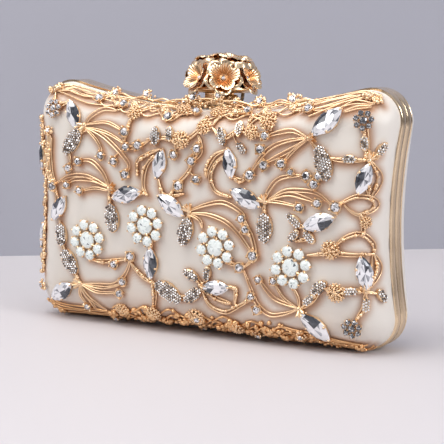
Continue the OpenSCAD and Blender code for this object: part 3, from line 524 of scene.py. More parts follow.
lining_cloth = lining_material()
pile = 0.45 * MM
for half, side in (("rear", 1), ("front", -1)):
    below = cover_t + shell_t
    lining = dish(half + "_lining", half + "_cloth", side, below, below + lining_t + pile)
    finish_piece(lining, lining_cloth, half + "_half", "lining", half + "_lining")

# ------------------------------
# The hinge along the foot, the chain eyes and the clasp's bright steel parts.
# All are the CAD's own solids: pressed brass leaves, turned pins and spring steel.
# ------------------------------

hinge_metal = metal("hinge_brass", tone(206, 184, 150), tone(130, 104, 76), stain_scale=120.0,
                    stretch=(0.4, 3, 3), grain_scale=1200.0)
bright_steel = metal("bright_steel", tone(206, 204, 200), tone(130, 126, 120), stain_scale=200.0,
                     stretch=(0.5, 3, 3), grain_scale=1600.0)
for node in ("hinge_leaf_rear", "hinge_leaf_front", "chain_lug_left", "chain_lug_right"):
    keep_node(node, hinge_metal)
for node in ("hinge_pin", "clasp_pin", "clasp_spring", "catch_tongue"):
    keep_node(node, bright_steel)

# ------------------------------
# The clasp's castings: the bracket on the rear band, and the oval plate that the knob stands on.
# Light alloy, tumbled until every edge is round, then plated in warm gold.
# ------------------------------

cast_gold = metal("cast_gold", tone(255, 224, 184), tone(178, 114, 70), stain_share=0.42, stain_scale=85.0,
                  grain_scale=1800.0, smooth=0.24, rough=0.4)


def tumble(node, name, width, segments=2):
    """A copy of a CAD node with its edges rounded."""
    piece = copy_of(node, name)
    with editing():
        bpy.ops.mesh.dissolve_limited(angle_limit=math.radians(1))
    apply_modifier(piece, "BEVEL", width=width, segments=segments, limit_method="ANGLE",
                   angle_limit=math.radians(30))
    shade_smooth(40)
    return piece


bracket = tumble("clasp_bracket", "bracket_casting", 0.15 * MM)
finish_piece(bracket, cast_gold, "rear_half", "gold_cast", "clasp_bracket")
plate = tumble("clasp_plate", "clasp_plate_casting", 0.35 * MM, segments=3)
finish_piece(plate, cast_gold, "clasp", "gold_cast", "clasp_plate")

# ------------------------------
# The knob: a ring of six cast flowers and two on top of a tapered core. Each is a deep bell with
# fine radial ribs, five broad pointed petals that curl outward, and one crystal in its throat.
# ------------------------------

rose_gold = metal("rose_gold", tone(255, 229, 192), tone(200, 140, 92), stain_share=0.15,
                  stain_scale=110.0, smooth=0.16, rough=0.3, relief=0.04)
tree = rose_gold.node_tree
shader = tree.nodes["Principled BSDF"]
plain_gold = shader.inputs["Base Color"].links[0].from_socket
# Painted shade: the gold is painted darker down in each flower's throat and along its grooves, lighter on its
# ribs and rim
painted_lit_mark = add_node(tree, "Attribute", attribute_name="painted_lit_share", out="Fac")
fill(shader, Base_Color=mixed(tree, painted_lit_mark, tone(212, 152, 96), plain_gold))
# Painted shade: the core between the flowers takes a darker copy of the rose gold, for the shade that falls
# between them
core_gold = metal("shaded_rose_gold", tone(206, 132, 84), tone(120, 60, 34), stain_share=0.6,
                  stain_scale=140.0, smooth=0.2, rough=0.4, relief=0.1)
keep_node("knob_core", core_gold)


def solids(node):
    """The corners and the triangles of each separate solid in a CAD node."""
    mesh = frame["nodes"][node].data
    mesh.calc_loop_triangles()
    corners = np.array([v.co for v in mesh.vertices])
    faces = np.array([t.vertices for t in mesh.loop_triangles])
    weld = np.round(corners / weld_gap).astype(np.int64)
    _, first, same = np.unique(weld, axis=0, return_index=True, return_inverse=True)
    corners, faces = corners[first], same.reshape(-1)[faces]
    label = np.arange(len(corners))
    while True:
        fresh = label.copy()
        np.minimum.at(fresh, faces.ravel(), np.repeat(label[faces].min(axis=1), 3))
        fresh = fresh[fresh]
        if (fresh == label).all():
            break
        label = fresh
    return [(corners, faces[label[faces[:, 0]] == one]) for one in np.unique(label[faces[:, 0]])]


def scaled(x, y, z):
    return Matrix.Diagonal((x, y, z, 1))


def moved(x, y, z):
    return Matrix.Translation((x, y, z))


def spun(angle):
    """A turn about a place's own Z axis."""
    return Matrix.Rotation(angle, 4, "Z")


def set_at(place, side, up):
    """A place whose X axis runs along side and whose Z axis runs along up."""
    return Matrix.Translation(place) @ Matrix((side, up.cross(side), up)).transposed().to_4x4()


no_area = 1e-14
bases_tried = 24
same_way = 0.999
backward_favour = 1.02


def seats(node):
    """Where each solid of a node is set: its place with the base's long axis along X and its own
    up along Z, and its half length, half width and height."""
    found = []
    for corners, faces in solids(node):
        a, b, c = (corners[faces[:, k]] for k in range(3))
        normal = np.cross(b - a, c - a)
        area = np.linalg.norm(normal, axis=1)
        keep = area > no_area
        a, b, c, normal, area = a[keep], b[keep], c[keep], normal[keep], area[keep]
        normal = normal / area[:, None]
        height = (a * normal).sum(axis=1)
        # The base is the largest flat, and of two like ones the one that looks backward
        best, base = 0, None
        for k in np.argsort(-area)[:bases_tried]:
            flat = (normal @ normal[k] > same_way) & (abs(height - height[k]) < face_slack)
            weight = area[flat].sum() * (backward_favour if normal[k][1] > 0 else 1)
            if weight > best:
                best, base = weight, flat
        up = Vector(-(normal[base] * area[base, None]).sum(axis=0)).normalized()
        middle = Vector(((a + b + c)[base] / 3 * area[base, None]).sum(axis=0) / area[base].sum())
        rim = [Vector(p) for p in np.unique(np.concatenate([a[base], b[base], c[base]]), axis=0)]
        far = max(rim, key=lambda p: (p - middle).length)
        long_way = (far - middle) - up * (far - middle).dot(up)
        half_length = long_way.length
        long_way.normalize()
        half_width = max(abs((p - middle).dot(up.cross(long_way))) for p in rim)
        tall = max((Vector(p) - middle).dot(up) for p in corners[np.unique(faces)])
        found.append((set_at(middle, long_way, up), half_length, half_width, tall))
    return found


def join(*pieces):
    """Joins pieces into the first of them."""
    select_only(*pieces)
    if len(pieces) > 1:
        bpy.ops.object.join()
    return pieces[0]


def set_copies(pattern, places, name):
    """Copies of a finished pattern, each with its own mesh, joined as one piece."""
    copies = []
    for place in places:
        one = bpy.data.objects.new(name, pattern.data.copy())
        one.data.transform(place)
        bpy.context.scene.collection.objects.link(one)
        copies.append(one)
    return join(*copies)


def drop(*patterns):
    """Removes patterns whose copies have all been set."""
    for pattern in patterns:
        bpy.data.objects.remove(pattern)


rose_r = 7.2 * MM
rose_deep = 6.4 * MM
crystal_r = 1.1 * MM
crystal_seat = 0.9 * MM
petal_wall = 0.34 * MM
petal_count = 5


def trumpet(name, throat, reach, low, high, curl, lobes, ribs, rib_height, turn, ruffle):
    """An open flower in one sheet: lobed at its rim, ribbed from its throat, curled outward.
    Its attribute for painted shade is 1 on the ribs and rim and 0 down in the throat and grooves, where the
    gold is painted darker."""
    sheet = new_shape(bpy.ops.mesh.primitive_grid_add, name, x_subdivisions=120, y_subdivisions=14, size=2)
    painted_lit_share = sheet.data.attributes.new("painted_lit_share", "FLOAT", "POINT")
    for vertex in sheet.data.vertices:
        angle = math.pi * (vertex.co.x + 1)
        out = (vertex.co.y + 1) / 2
        lobe = abs(math.cos(petal_count / 2 * (angle + turn)))
        edge = 1 - lobes * out * (1 - lobe ** 0.6)
        radius = (throat + (reach - throat) * out) * edge
        height = low + (high - low) * out ** 1.25 - curl * max(0, out - 0.66) ** 2 / 0.1156
        height -= 0.9 * lobes * (high - low) * out ** 3 * (1 - lobe ** 0.4)
        height += ruffle * out ** 4 * math.cos(2 * petal_count * (angle + turn))
        rib = math.cos(ribs * angle)
        height += rib_height * rib * math.sin(math.pi * min(1, 0.87 * out))
        groove = max(0, -rib) * math.sin(math.pi * min(1, 0.95 * out))
        painted_lit_share.data[vertex.index].value = min(1, max(0, 0.12 + 1.05 * out ** 1.5 - 0.9 * groove))
        vertex.co = (radius * math.cos(angle), radius * math.sin(angle), height)
    with editing():
        bpy.ops.mesh.remove_doubles(threshold=weld_gap)
        bpy.ops.mesh.normals_make_consistent(inside=False)
    apply_modifier(sheet, "SOLIDIFY", thickness=petal_wall, offset=0)
    shade_smooth(50)
    return sheet


# Each flower is a finely ribbed bell in a plainer collar, and the two on top droop further
bell_form = {"throat": 0.1 * rose_r, "reach": 1.04 * rose_r, "low": 0.5 * MM, "high": 0.82 * rose_deep,
             "ribs": 30, "rib_height": 0.2 * MM}
collar_form = {"throat": 0.3 * rose_r, "low": -0.9 * MM, "lobes": 0.34, "ribs": 20, "rib_height": 0.08 * MM}
between = math.pi / petal_count
rose = join(
    trumpet("rose", curl=0.7 * MM, lobes=0.32, turn=0.2, ruffle=0.1 * MM, **bell_form),
    trumpet("rose_collar", reach=1.26 * rose_r, high=0.6 * rose_deep, curl=1.6 * MM, turn=between,
            ruffle=0.15 * MM, **collar_form))
cap_rose = join(
    trumpet("cap_rose", curl=2.0 * MM, lobes=0.3, turn=0.6, ruffle=0.15 * MM, **bell_form),
    trumpet("cap_collar", reach=1.24 * rose_r, high=0.62 * rose_deep, curl=4.2 * MM, turn=0.6 + between,
            ruffle=0.3 * MM, **collar_form))

throats = seats("rose_crystals")
for spot in ("front_left", "front_right", "left", "right", "back_left", "back_right",
             "top_left", "top_right"):
    node = "rose_" + spot
    on_top = spot.startswith("top")
    lowest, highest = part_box(node)
    middle = (lowest + highest) / 2
    place, throat_r, _, _ = min(throats, key=lambda s: (s[0].translation - middle).length)
    share = throat_r / crystal_r * (1.1 if on_top else 1)
    here = place @ scaled(share * 1.1, share * 1.1, share * 1.05) @ moved(0, 0, -crystal_seat)
    flower = set_copies(cap_rose if on_top else rose, [here], node + "_petals")
    finish_piece(flower, rose_gold, "clasp", "gold_cast", node)
drop(rose, cap_rose)

# ------------------------------
# The filigree's wires: hand-drawn gold wire, soldered at its hubs to sprays and vines.
# Each wire runs through listed places on the front, given as hundredths of the half width
# and of the height, and a lighter wire lies along it to one side.
# ------------------------------

vine_r = 0.75 * MM
wire_lift = 1.0 * MM
strand_lift = 0.8 * wire_lift
probe = 0.4 * MM


def front_normal(x, z):
    """The way out of the front satin, square to it."""
    slope_x = (depth(x + probe, z) - depth(x - probe, z)) / (2 * probe)
    slope_z = (depth(x, z + probe) - depth(x, z - probe)) / (2 * probe)
    return Vector((-slope_x, -1, -slope_z)).normalized()


def before_satin(u, v, gap):
    """A place straight forward of the front satin, from its shares of the half width and the height."""
    x, z = u * half_w, v * case_h
    return Vector((x, seam - band_w - depth(x, z) - gap, z))


def front_point(u, v, lift):
    """A place over the front satin, square to it, from the same shares."""
    return before_satin(u, v, 0) + lift * front_normal(u * half_w, v * case_h)


def smooth_path(places, steps):
    """A curve that runs smoothly through every place given."""
    points = [np.array(p, float) for p in places]
    path = []
    for i in range(len(points) - 1):
        a, b, c, d = points[max(i - 1, 0)], points[i], points[i + 1], points[min(i + 2, len(points) - 1)]
        for k in range(steps):
            t = k / steps
            path.append((2 * b + (c - a) * t + (2 * a - 5 * b + 4 * c - d) * t * t
                         + (3 * b - a - 3 * c + d) * t * t * t) / 2)
    return path + [points[-1]]


gold_spots = []


def draw_wires(name, runs):
    """Round wires along the given runs of (points, radii), as one mesh with flat ends."""
    curve = bpy.data.curves.new(name, "CURVE")
    curve.dimensions = "3D"
    curve.bevel_depth = 1
    curve.bevel_resolution = 2
    curve.use_fill_caps = True
    for points, radii in runs:
        gold_spots.extend(points)
        spline = curve.splines.new("POLY")
        spline.points.add(len(points) - 1)
        for spot, point, radius in zip(spline.points, points, radii):
            spot.co = (*point, 1)
            spot.radius = radius
    wires = bpy.data.objects.new(name, curve)
    bpy.context.scene.collection.objects.link(wires)
    select_only(wires)
    bpy.ops.object.convert(target="MESH")
    shade_smooth(60)
    return bpy.context.view_layer.objects.active


def strand(places, thick, thin, swing, lift=wire_lift, steps=8):
    """One wire along a path; swing moves its middle sideways, and it joins the path at its ends."""
    path = smooth_path(places, steps)
    points, radii = [], []
    for k, spot in enumerate(path):
        share = k / (len(path) - 1)
        ahead_k, behind_k = path[min(k + 1, len(path) - 1)], path[max(k - 1, 0)]
        run = np.array([(ahead_k[0] - behind_k[0]) * half_w, (ahead_k[1] - behind_k[1]) * case_h])
        run /= np.linalg.norm(run) + 1e-12
        aside = swing * math.sin(math.pi * share) ** 0.7
        points.append(front_point(spot[0] - run[1] * aside / half_w, spot[1] + run[0] * aside / case_h, lift))
        radii.append(thick + (thin - thick) * share)
    return points, radii


def shares(table):
    """A table's hundredths as shares of one."""
    return [[(u / 100, v / 100) for u, v in places] for places in table]


def nearest_of(spots):
    """A search for the nearest of the given places."""
    tree = KDTree(len(spots))
    for k, spot in enumerate(spots):
        tree.insert(spot, k)
    tree.balance()
    return tree.find


def solder_on(piece, *stands_for, gold=cast_gold):
    """Finishes a gold piece that is soldered to the front half."""
    finish_piece(piece, gold, "front_half", "gold_cast", *stands_for)


spray_shares = shares([
    [(-64, 82), (-61, 86), (-54, 89), (-46, 88)], [(-64, 82), (-51, 83), (-40, 80)],
    [(-64, 81), (-51, 79), (-39, 75)], [(-64, 81), (-52, 77), (-38, 68), (-38, 64)],
    [(-64, 81), (-56, 75), (-53, 70)], [(-48, 57), (-55, 60), (-64, 62), (-74, 61), (-82, 57)],
    [(-48, 57), (-57, 59), (-69, 59), (-74, 57)], [(-48, 56), (-57, 57), (-66, 55)],
    [(-48, 57), (-53, 63), (-60, 67), (-67, 67)], [(61, 81), (53, 84), (45, 83), (39, 81)],
    [(61, 81), (50, 79), (42, 76), (36, 71), (32, 66)], [(61, 81), (52, 77), (45, 74), (39, 71)],
    [(61, 81), (54, 77), (48, 71)], [(40, 56), (42, 60), (48, 65), (61, 67)],
    [(40, 56), (49, 61), (58, 62), (67, 61), (75, 56)], [(40, 56), (51, 59), (60, 58), (66, 57)],
    [(40, 56), (46, 56), (58, 55)], [(-2, 50), (9, 53), (18, 54), (27, 51), (29, 49)],
    [(-1, 49.5), (9, 50), (19, 48), (26, 44), (31, 39), (34, 35)], [(-2, 49), (4, 47), (6, 44)],
    [(-67, 16), (-56, 17), (-46, 18), (-39, 23), (-35, 30)], [(-67, 16), (-57, 13), (-42, 14)],
    [(-67, 16), (-53, 15), (-40, 18)], [(-67, 16), (-68, 11), (-64, 7)],
    [(-67, 16), (-63, 12), (-58, 9), (-53, 6)], [(-67, 16), (-66, 13), (-62, 9), (-60, 5)],
    [(58, 16), (46, 18), (40, 22), (37, 26)], [(58, 16), (50, 20), (45, 26)],
    [(58, 16), (50, 13), (42, 12), (35, 16), (32, 22), (28, 30)], [(58, 16), (58, 20), (55, 24)],
    [(-87, 96), (-78, 97), (-69, 95), (-60, 93)], [(-86, 95), (-77, 95), (-68, 93), (-58, 93)],
    [(91, 95), (81, 96.5), (70, 95), (59, 92)], [(90, 94), (81, 95), (71, 93), (60, 91)],
    [(89, 93), (83, 93), (77, 91)],
])
vine_shares = shares([
    [(-35, 87), (-37, 83), (-39, 75), (-31, 75), (-24, 78)],
    [(-24, 76), (-17, 78), (-6, 77), (1, 80), (5, 84), (5, 87)],
    [(-36, 87), (-26, 90), (-16, 86), (-10, 88), (-3, 88)],
    [(10, 83), (17, 79), (25, 82), (32, 81), (39, 81)], [(3, 75), (0, 71), (-1, 66), (-8, 60), (-12, 56)],
    [(3, 80), (4, 74), (0, 70)], [(-18, 74), (-26, 71), (-31, 68), (-31, 63)],
    [(-19, 72), (-25, 69), (-28, 64), (-28, 58), (-25, 55)], [(-19, 62), (-17, 58), (-14, 56), (-4, 57)],
    [(18, 75), (12, 73), (8, 68), (8, 64)], [(18, 73), (13, 69), (11, 64), (14, 59), (22, 57)],
    [(22, 65), (27, 63), (31, 66)], [(72, 74), (79, 74), (89, 74)], [(87, 88), (88, 82), (89, 74)],
    [(89, 74), (94, 77)], [(90, 74), (92.5, 69), (92, 64), (90, 59)], [(90, 73), (90, 68), (90, 61)],
    [(75, 56), (80, 58), (86, 60), (91, 59), (91, 56), (86, 54), (80, 57)], [(87, 54), (89, 50), (88, 46)],
    [(76, 41), (80, 44), (87, 46), (91, 43), (92, 39)], [(62, 37), (74, 39), (83, 39), (92, 39)],
    [(92, 39), (93, 34), (92, 29), (89, 25)], [(92, 39), (93, 33), (91, 26)],
    [(70, 25), (77, 24), (85, 25), (94, 24)], [(90, 25), (90, 19), (86, 14)],
    [(-85, 76), (-86, 69), (-85, 62), (-82, 57)], [(-79, 42), (-78, 36), (-75, 27), (-69, 19), (-66, 16)],
    [(-61, 27), (-53, 26), (-45, 27), (-35, 29)], [(-36, 28), (-29, 23), (-23, 20)],
    [(-23, 21), (-22, 15), (-23, 9)], [(-22, 20), (-13, 17), (-2, 16), (5, 20)],
    [(-3, 26), (3, 23), (6, 20)], [(6, 19), (10, 14), (18, 12), (26, 15), (33, 18)],
    [(6, 20), (14, 16), (22, 15)], [(21, 22), (25, 21), (24, 15)],
    [(28, 50), (30, 46), (33, 41), (34, 35), (29, 30)], [(-48, 56), (-47, 50), (-46, 44)],
    [(-1, 50), (-3, 44), (-4, 40)], [(40, 56), (40, 50), (40, 44)], [(-48, 56), (-38, 54), (-26, 56)],
    [(61, 81), (66, 77), (70, 70), (68, 67)], [(56, 48), (60, 47), (62, 44), (56, 42)],
    [(58, 16), (64, 20), (68, 24)], [(40, 86), (33, 88), (29, 85), (32, 81)], [(40, 86), (42, 83)],
    [(10, 84), (13, 87), (19, 88), (26, 89)], [(-62, 80), (-68, 78), (-73, 73), (-72, 66)],
    [(-26, 46), (-24, 38), (-23, 34)], [(14, 37), (21, 32), (29, 31)], [(-76, 91), (-83, 90), (-86, 94)],
    [(-82, 57), (-80, 51), (-79, 44)], [(-86, 77), (-87, 69), (-86.5, 62), (-84, 57)],
    [(-87, 78), (-88, 70), (-87.5, 62), (-85, 57)],
])

# How thick each wire and its lighter mate start and end, and how far the mate swings out
spray_wire, spray_mate = (0.62 * vine_r, 0.44 * vine_r), (0.46 * vine_r, 0.34 * vine_r)
vine_wire, vine_mate = (0.78 * vine_r, 0.68 * vine_r), (0.5 * vine_r, 0.5 * vine_r)
spray_swing, short_swing, vine_swing = 1.7 * MM, 1.1 * MM, 1.5 * MM

wires = []
for k, places in enumerate(spray_shares):
    swing = (spray_swing if k % 2 else -spray_swing) if len(places) > 3 else short_swing
    wires += [strand(places, *spray_wire, 0), strand(places, *spray_mate, swing, strand_lift)]
for k, places in enumerate(vine_shares):
    swing = vine_swing if k % 2 else -vine_swing
    wires += [strand(places, *vine_wire, 0), strand(places, *vine_mate, swing, strand_lift)]

# Short stems from the cups and leaves that stand free to the nearest wire
nearest_wire = nearest_of([point for points, _ in wires for point in points])
touching = 0.7 * MM
stem_reach = 16 * MM
stem_from = 0.8
stem_wire, stem_swing = (0.55 * vine_r, 0.5 * vine_r), 0.8 * MM
for node in ("stone_cups", "leaf_plates"):
    for seat, half_length, _, _ in seats(node):
        ends = [seat @ Vector((side * stem_from * half_length, 0, 0)) for side in (-1, 1)]
        gap, spot, end = min(((nearest_wire(end)[2], nearest_wire(end)[0], end) for end in ends),
                             key=lambda found: found[0])
        if touching < gap < stem_reach:
            places = [(p.x / half_w, p.z / case_h) for p in (end, (end + spot) / 2, spot)]
            wires.append(strand(places, *stem_wire, stem_swing, strand_lift, steps=4))
solder_on(draw_wires("sprays_and_vines", wires), "filigree_net")

# ------------------------------
# The garlands along the top, bottom and left edges: bundles of fine wires that sweep out of the
# corners and tangle with one another towards the middle. Soldered at every crossing.
# ------------------------------


def edge_place(edge, along, inside):
    """A place beside the top, low or left edge of the front, some way inside the outline.
    Past the end of a long edge it goes on round the corner."""
    if edge == "left":
        z = side_z + along * side_half
        x = math.sqrt(side_r * side_r - (z - side_z) ** 2) - side_c[0] + inside
        return x / half_w, z / case_h
    x = along * half_w
    start_angle, corner_z, way = (top_a, high_z, -1) if edge == "top" else (low_a, low_z, 1)
    past = abs(x) - corner_x - corner_r * math.cos(start_angle)
    if past > 0:
        angle = start_angle + way * past / corner_r
        x = math.copysign(corner_x + (corner_r - inside) * math.cos(angle), along)
        z = corner_z + (corner_r - inside) * math.sin(angle)
    elif edge == "top":
        z = top_c[1] - math.sqrt(top_r * top_r - x * x) - inside
    else:
        z = low_c[1] + math.sqrt(low_r * low_r - x * x) + inside
    return x / half_w, z / case_h


def edge_wire(edge, start, end, insides, wave, turns, phase, radius, lift=0.9, ahead=False):
    """A wire along an edge, its sizes in millimetres. It runs between two shares of the edge, and
    insides are its distances in at the start, the middle and the end. It waves the given number
    of turns. Ahead, it stands straight forward of the edge instead of square to the satin."""
    first, middle, last = (inside * MM for inside in insides)
    wave *= MM
    steps = max(24, int(abs(turns) * 10))
    points = []
    for k in range(steps + 1):
        t = k / steps
        inside = (1 - t) * (1 - 2 * t) * first + 4 * t * (1 - t) * middle + t * (2 * t - 1) * last
        swing = math.tau * turns * t + phase
        u, v = edge_place(edge, start + (end - start) * t, inside + wave * math.sin(swing))
        rise = lift * MM + 0.35 * wave * math.cos(swing)
        points.append(before_satin(u, v, rise) if ahead else front_point(u, v, rise))
    return points, [radius * MM] * len(points)


def garland(edge, node, table, gold=cast_gold):
    """All the wires of one garland, from its table of runs."""
    wires = draw_wires(node + "_wires", [edge_wire(edge, *row) for row in table])
    solder_on(wires, node, gold=gold)


# Each run: start and end as shares of the edge, distances in, wave, turns, phase and radius
garland("top", "top_garland", [
    (-0.95, -0.08, (3.4, 1.9, 2.2), 0.25, 3, 0.0, 0.42), (-0.96, -0.35, (4.2, 2.9, 2.2), 0.2, 2, 1.0, 0.36),
    (-0.94, -0.48, (4.8, 5.0, 3.4), 0.25, 2, 2.0, 0.4),
    (-0.92, -0.55, (5.4, 7.4, 6.4), 0.2, 1.5, 0.5, 0.36),
    (-0.58, -0.06, (5.4, 6.6, 5.2), 0.9, 4, 0.0, 0.42), (-0.60, -0.06, (3.0, 3.6, 3.2), 1.5, 5, 1.2, 0.38),
    (0.04, 0.60, (2.0, 1.8, 3.2), 0.6, 4, 0.4, 0.4), (0.06, 0.62, (5.6, 5.8, 5.4), 1.0, 4, 1.8, 0.4),
    (0.06, 0.60, (3.2, 3.8, 4.0), 1.5, 5, 0.0, 0.36), (0.50, 0.97, (2.4, 1.8, 3.6), 0.15, 2, 0.8, 0.42),
    (0.50, 0.95, (3.4, 2.7, 4.0), 0.2, 2, 2.2, 0.4), (0.52, 0.93, (4.6, 3.7, 4.4), 0.2, 1.5, 1.0, 0.44),
    (0.56, 0.92, (6.4, 4.8, 4.8), 0.2, 1, 0.2, 0.4), (0.60, 0.90, (8.6, 6.0, 5.2), 0.2, 1, 1.2, 0.4),
    (0.68, 0.85, (9.6, 7.2, 5.2), 0.2, 1, 0.0, 0.38),
])
# Painted shade: a darker copy of the cast gold for the bottom garland, which lies low in shadow near the
# table and mirrors it
shaded_low_gold = metal("shaded_low_gold", tone(246, 200, 148), tone(158, 92, 50), stain_share=0.42, stain_scale=85.0,
                  smooth=0.24, rough=0.4)
garland("low", "bottom_garland", [
    (-0.99, -0.45, (2.6, 1.3, 1.8), 0.15, 2, 0.2, 0.5), (-0.98, -0.45, (4.2, 2.6, 2.6), 0.2, 2, 1.2, 0.5),
    (-0.96, -0.48, (5.8, 4.0, 3.6), 0.2, 2, 2.4, 0.5),
    (-0.94, -0.50, (7.4, 5.4, 4.6), 0.25, 1.5, 0.8, 0.45),
    (-0.92, -0.52, (9.0, 7.0, 5.6), 0.25, 1.5, 1.8, 0.45),
    (-0.52, 0.66, (1.8, 2.0, 1.8), 0.9, 13, 0.0, 0.65), (-0.52, 0.66, (3.4, 3.6, 3.2), 1.1, 11, 1.9, 0.6),
    (-0.50, 0.66, (5.4, 5.6, 4.8), 1.1, 10, 0.7, 0.5), (-0.50, 0.64, (3.8, 4.4, 3.4), 2.2, 9, 2.6, 0.5),
    (-0.48, 0.60, (7.6, 8.2, 6.4), 1.6, 7, 0.4, 0.55), (0.48, 0.93, (1.6, 1.4, 2.0), 0.12, 2, 0.3, 0.42),
    (0.48, 0.93, (2.6, 2.4, 2.7), 0.25, 4, 1.3, 0.42), (0.50, 0.87, (3.6, 3.4, 3.4), 0.3, 5, 2.3, 0.42),
    (0.52, 0.86, (4.8, 4.4, 4.0), 0.3, 4, 0.6, 0.4), (0.56, 0.91, (6.0, 5.4, 4.2), 0.3, 3, 1.5, 0.45),
    (0.50, 0.90, (7.4, 6.2, 4.4), 0.3, 3, 0.5, 0.45), (0.46, 0.88, (9.2, 7.2, 4.8), 0.25, 2, 2.5, 0.42),
], shaded_low_gold)
garland("left", "left_garland", [
    (-0.86, 0.86, (3.0, 2.0, 3.0), 0.5, 8, 0.0, 0.5), (-0.86, 0.86, (4.4, 3.2, 4.4), 0.7, 7, 1.6, 0.5),
    (-0.84, 0.84, (5.4, 4.2, 5.2), 0.8, 6, 2.8, 0.42), (-0.80, 0.80, (3.8, 3.0, 3.8), 1.4, 9, 0.8, 0.4),
])

# Painted shade on the satin: a warm brown painted beside all the gold so far, moved down and to the right as
# the shadow of a lamp at the upper left, and near the table
gold_spots += [place.translation
               for node in ("stone_cups", "leaf_plates", "marquise_settings", "flower_plates")
               for place, _, _, _ in seats(node)]
nearest_gold = nearest_of(gold_spots)
shade_reach = 2.7 * MM
shade_shift = Vector((-0.6, 0, 0.7)) * MM
table_shade = 0.6
table_shade_reach = 17 * MM
table_shade_wide = 82 * MM
front_satin = bpy.data.objects["front_satin"]
painted_shade = front_satin.data.attributes.new("painted_gold_shade", "FLOAT", "POINT")
for vertex in front_satin.data.vertices:
    x, _, z = vertex.co
    gap = nearest_gold(vertex.co + shade_shift)[2]
    # Painted shade near the table, warm and strongest along the foot of the front
    painted_table_shade = table_shade * math.exp(-(z / table_shade_reach) ** 2 - (x / table_shade_wide) ** 6)
    painted_shade.data[vertex.index].value = max(math.exp(-(gap / shade_reach) ** 2), painted_table_shade)

# ------------------------------
# Cast blossoms and nuggets: small rough castings with granulated petals, soldered where the
# wires meet, and the granules that hide the joints.
# ------------------------------

casting_chance = random.Random(3)


def granule(name, roughness=0.0, chance=casting_chance, fine=False):
    """A small rough lump of radius one, of 20 faces or, if fine, of 35."""
    if fine:
        lump = new_shape(bpy.ops.mesh.primitive_uv_sphere_add, name, segments=7, ring_count=5, radius=1)
    else:
        lump = new_shape(bpy.ops.mesh.primitive_ico_sphere_add, name, subdivisions=1, radius=1)
    for vertex in lump.data.vertices:
        vertex.co *= 1 + chance.uniform(-roughness, roughness)
    shade_smooth(75)
    return lump


def turned(place, turn, size, rise=0.0, squash=1.0):
    """A place turned about its own axis and scaled alike, or pressed flatter."""
    return place @ moved(0, 0, rise) @ spun(turn) @ scaled(size, size, size * squash)


def ring_of(count, radius, size, rise=0.0, start=0.0, squash=1.0):
    """Places round an axis."""
    return [spun(start + k * math.tau / count) @ moved(radius, 0, rise) @ scaled(size, size, size * squash)
            for k in range(count)]


def whorl(name, wall, root, reach, rise, curl, spread, rib_height):
    """Five petals round an axis, each narrow at its root, widest past its middle and pointed."""
    petal = new_shape(bpy.ops.mesh.primitive_grid_add, name, x_subdivisions=10, y_subdivisions=18, size=2)
    widest = 0.55
    for vertex in petal.data.vertices:
        along_it = (vertex.co.x + 1) / 2
        over = vertex.co.y
        beyond = max(0, along_it - widest) / (1 - widest)
        angle = math.radians(spread) * over * (1 - beyond ** 1.8)
        radius = root + (reach - root) * along_it * (1 - 0.1 * over * over * beyond)
        height = rise * along_it ** 1.4 - curl * max(0, along_it - 0.62) ** 2 / 0.1444
        height += rib_height * math.cos(math.tau * over) * math.sin(math.pi * min(1, along_it * 1.25))
        height -= 0.05 * reach * over * over * beyond
        vertex.co = (radius * math.cos(angle), radius * math.sin(angle), height)
    petals = set_copies(petal, ring_of(petal_count, 0, 1), name + "_whorl")
    apply_modifier(petals, "SOLIDIFY", thickness=wall)
    drop(petal)
    return petals


lump = granule("lump", 0.3, fine=True)
grain = granule("grain", 0.1)

# A blossom: five curled petals with grains on them, round a granulated middle
petals = whorl("blossom", 0.12, root=0.25, reach=1.0, rise=0.55, curl=0.25, spread=38, rib_height=0.06)
rough_ring = set_copies(lump, ring_of(10, 0.76, 0.17, 0.4, 0.3, 0.8) + ring_of(6, 0.42, 0.18, 0.5, 0.6, 0.8)
                        + ring_of(1, 0, 0.22, 0.5), "blossom_middle")
fine_ring = set_copies(grain, ring_of(16, 0.95, 0.1, 0.3) + ring_of(13, 0.6, 0.1, 0.58)
                       + ring_of(7, 0.22, 0.09, 0.66), "blossom_grains")
blossom = join(petals, rough_ring, fine_ring)


def on_front(u, v, lift, turn=0.0):
    """A place on the front satin whose Z axis is the satin's own normal."""
    up = front_normal(u * half_w, v * case_h)
    side = Vector((1, 0, 0))
    side = (side - up * side.dot(up)).normalized()
    return set_at(front_point(u, v, lift), side, up) @ spun(turn)


blossom_r = 4.3 * MM
blossom_lift = 0.9 * MM
blossom_shares = [
    (-0.35, 0.87, 1), (0.06, 0.83, 1), (0.40, 0.86, 1.1), (0.74, 0.40, 1.1), (0.89, 0.51, 0.7),
    (-0.06, 0.78, 1.1), (0.32, 0.82, 0.9), (0.77, 0.24, 1.1), (0.02, 0.09, 1.1), (-0.42, 0.08, 0.9),
    (-0.23, 0.08, 1), (0.23, 0.06, 1), (-0.10, 0.885, 0.9), (0.10, 0.88, 0.9),
]
places = [turned(on_front(u, v, blossom_lift), casting_chance.uniform(0, 6), blossom_r * size)
          for u, v, size in blossom_shares]
solder_on(set_copies(blossom, places, "cast_blossoms"), "gold_blossoms")
drop(blossom)

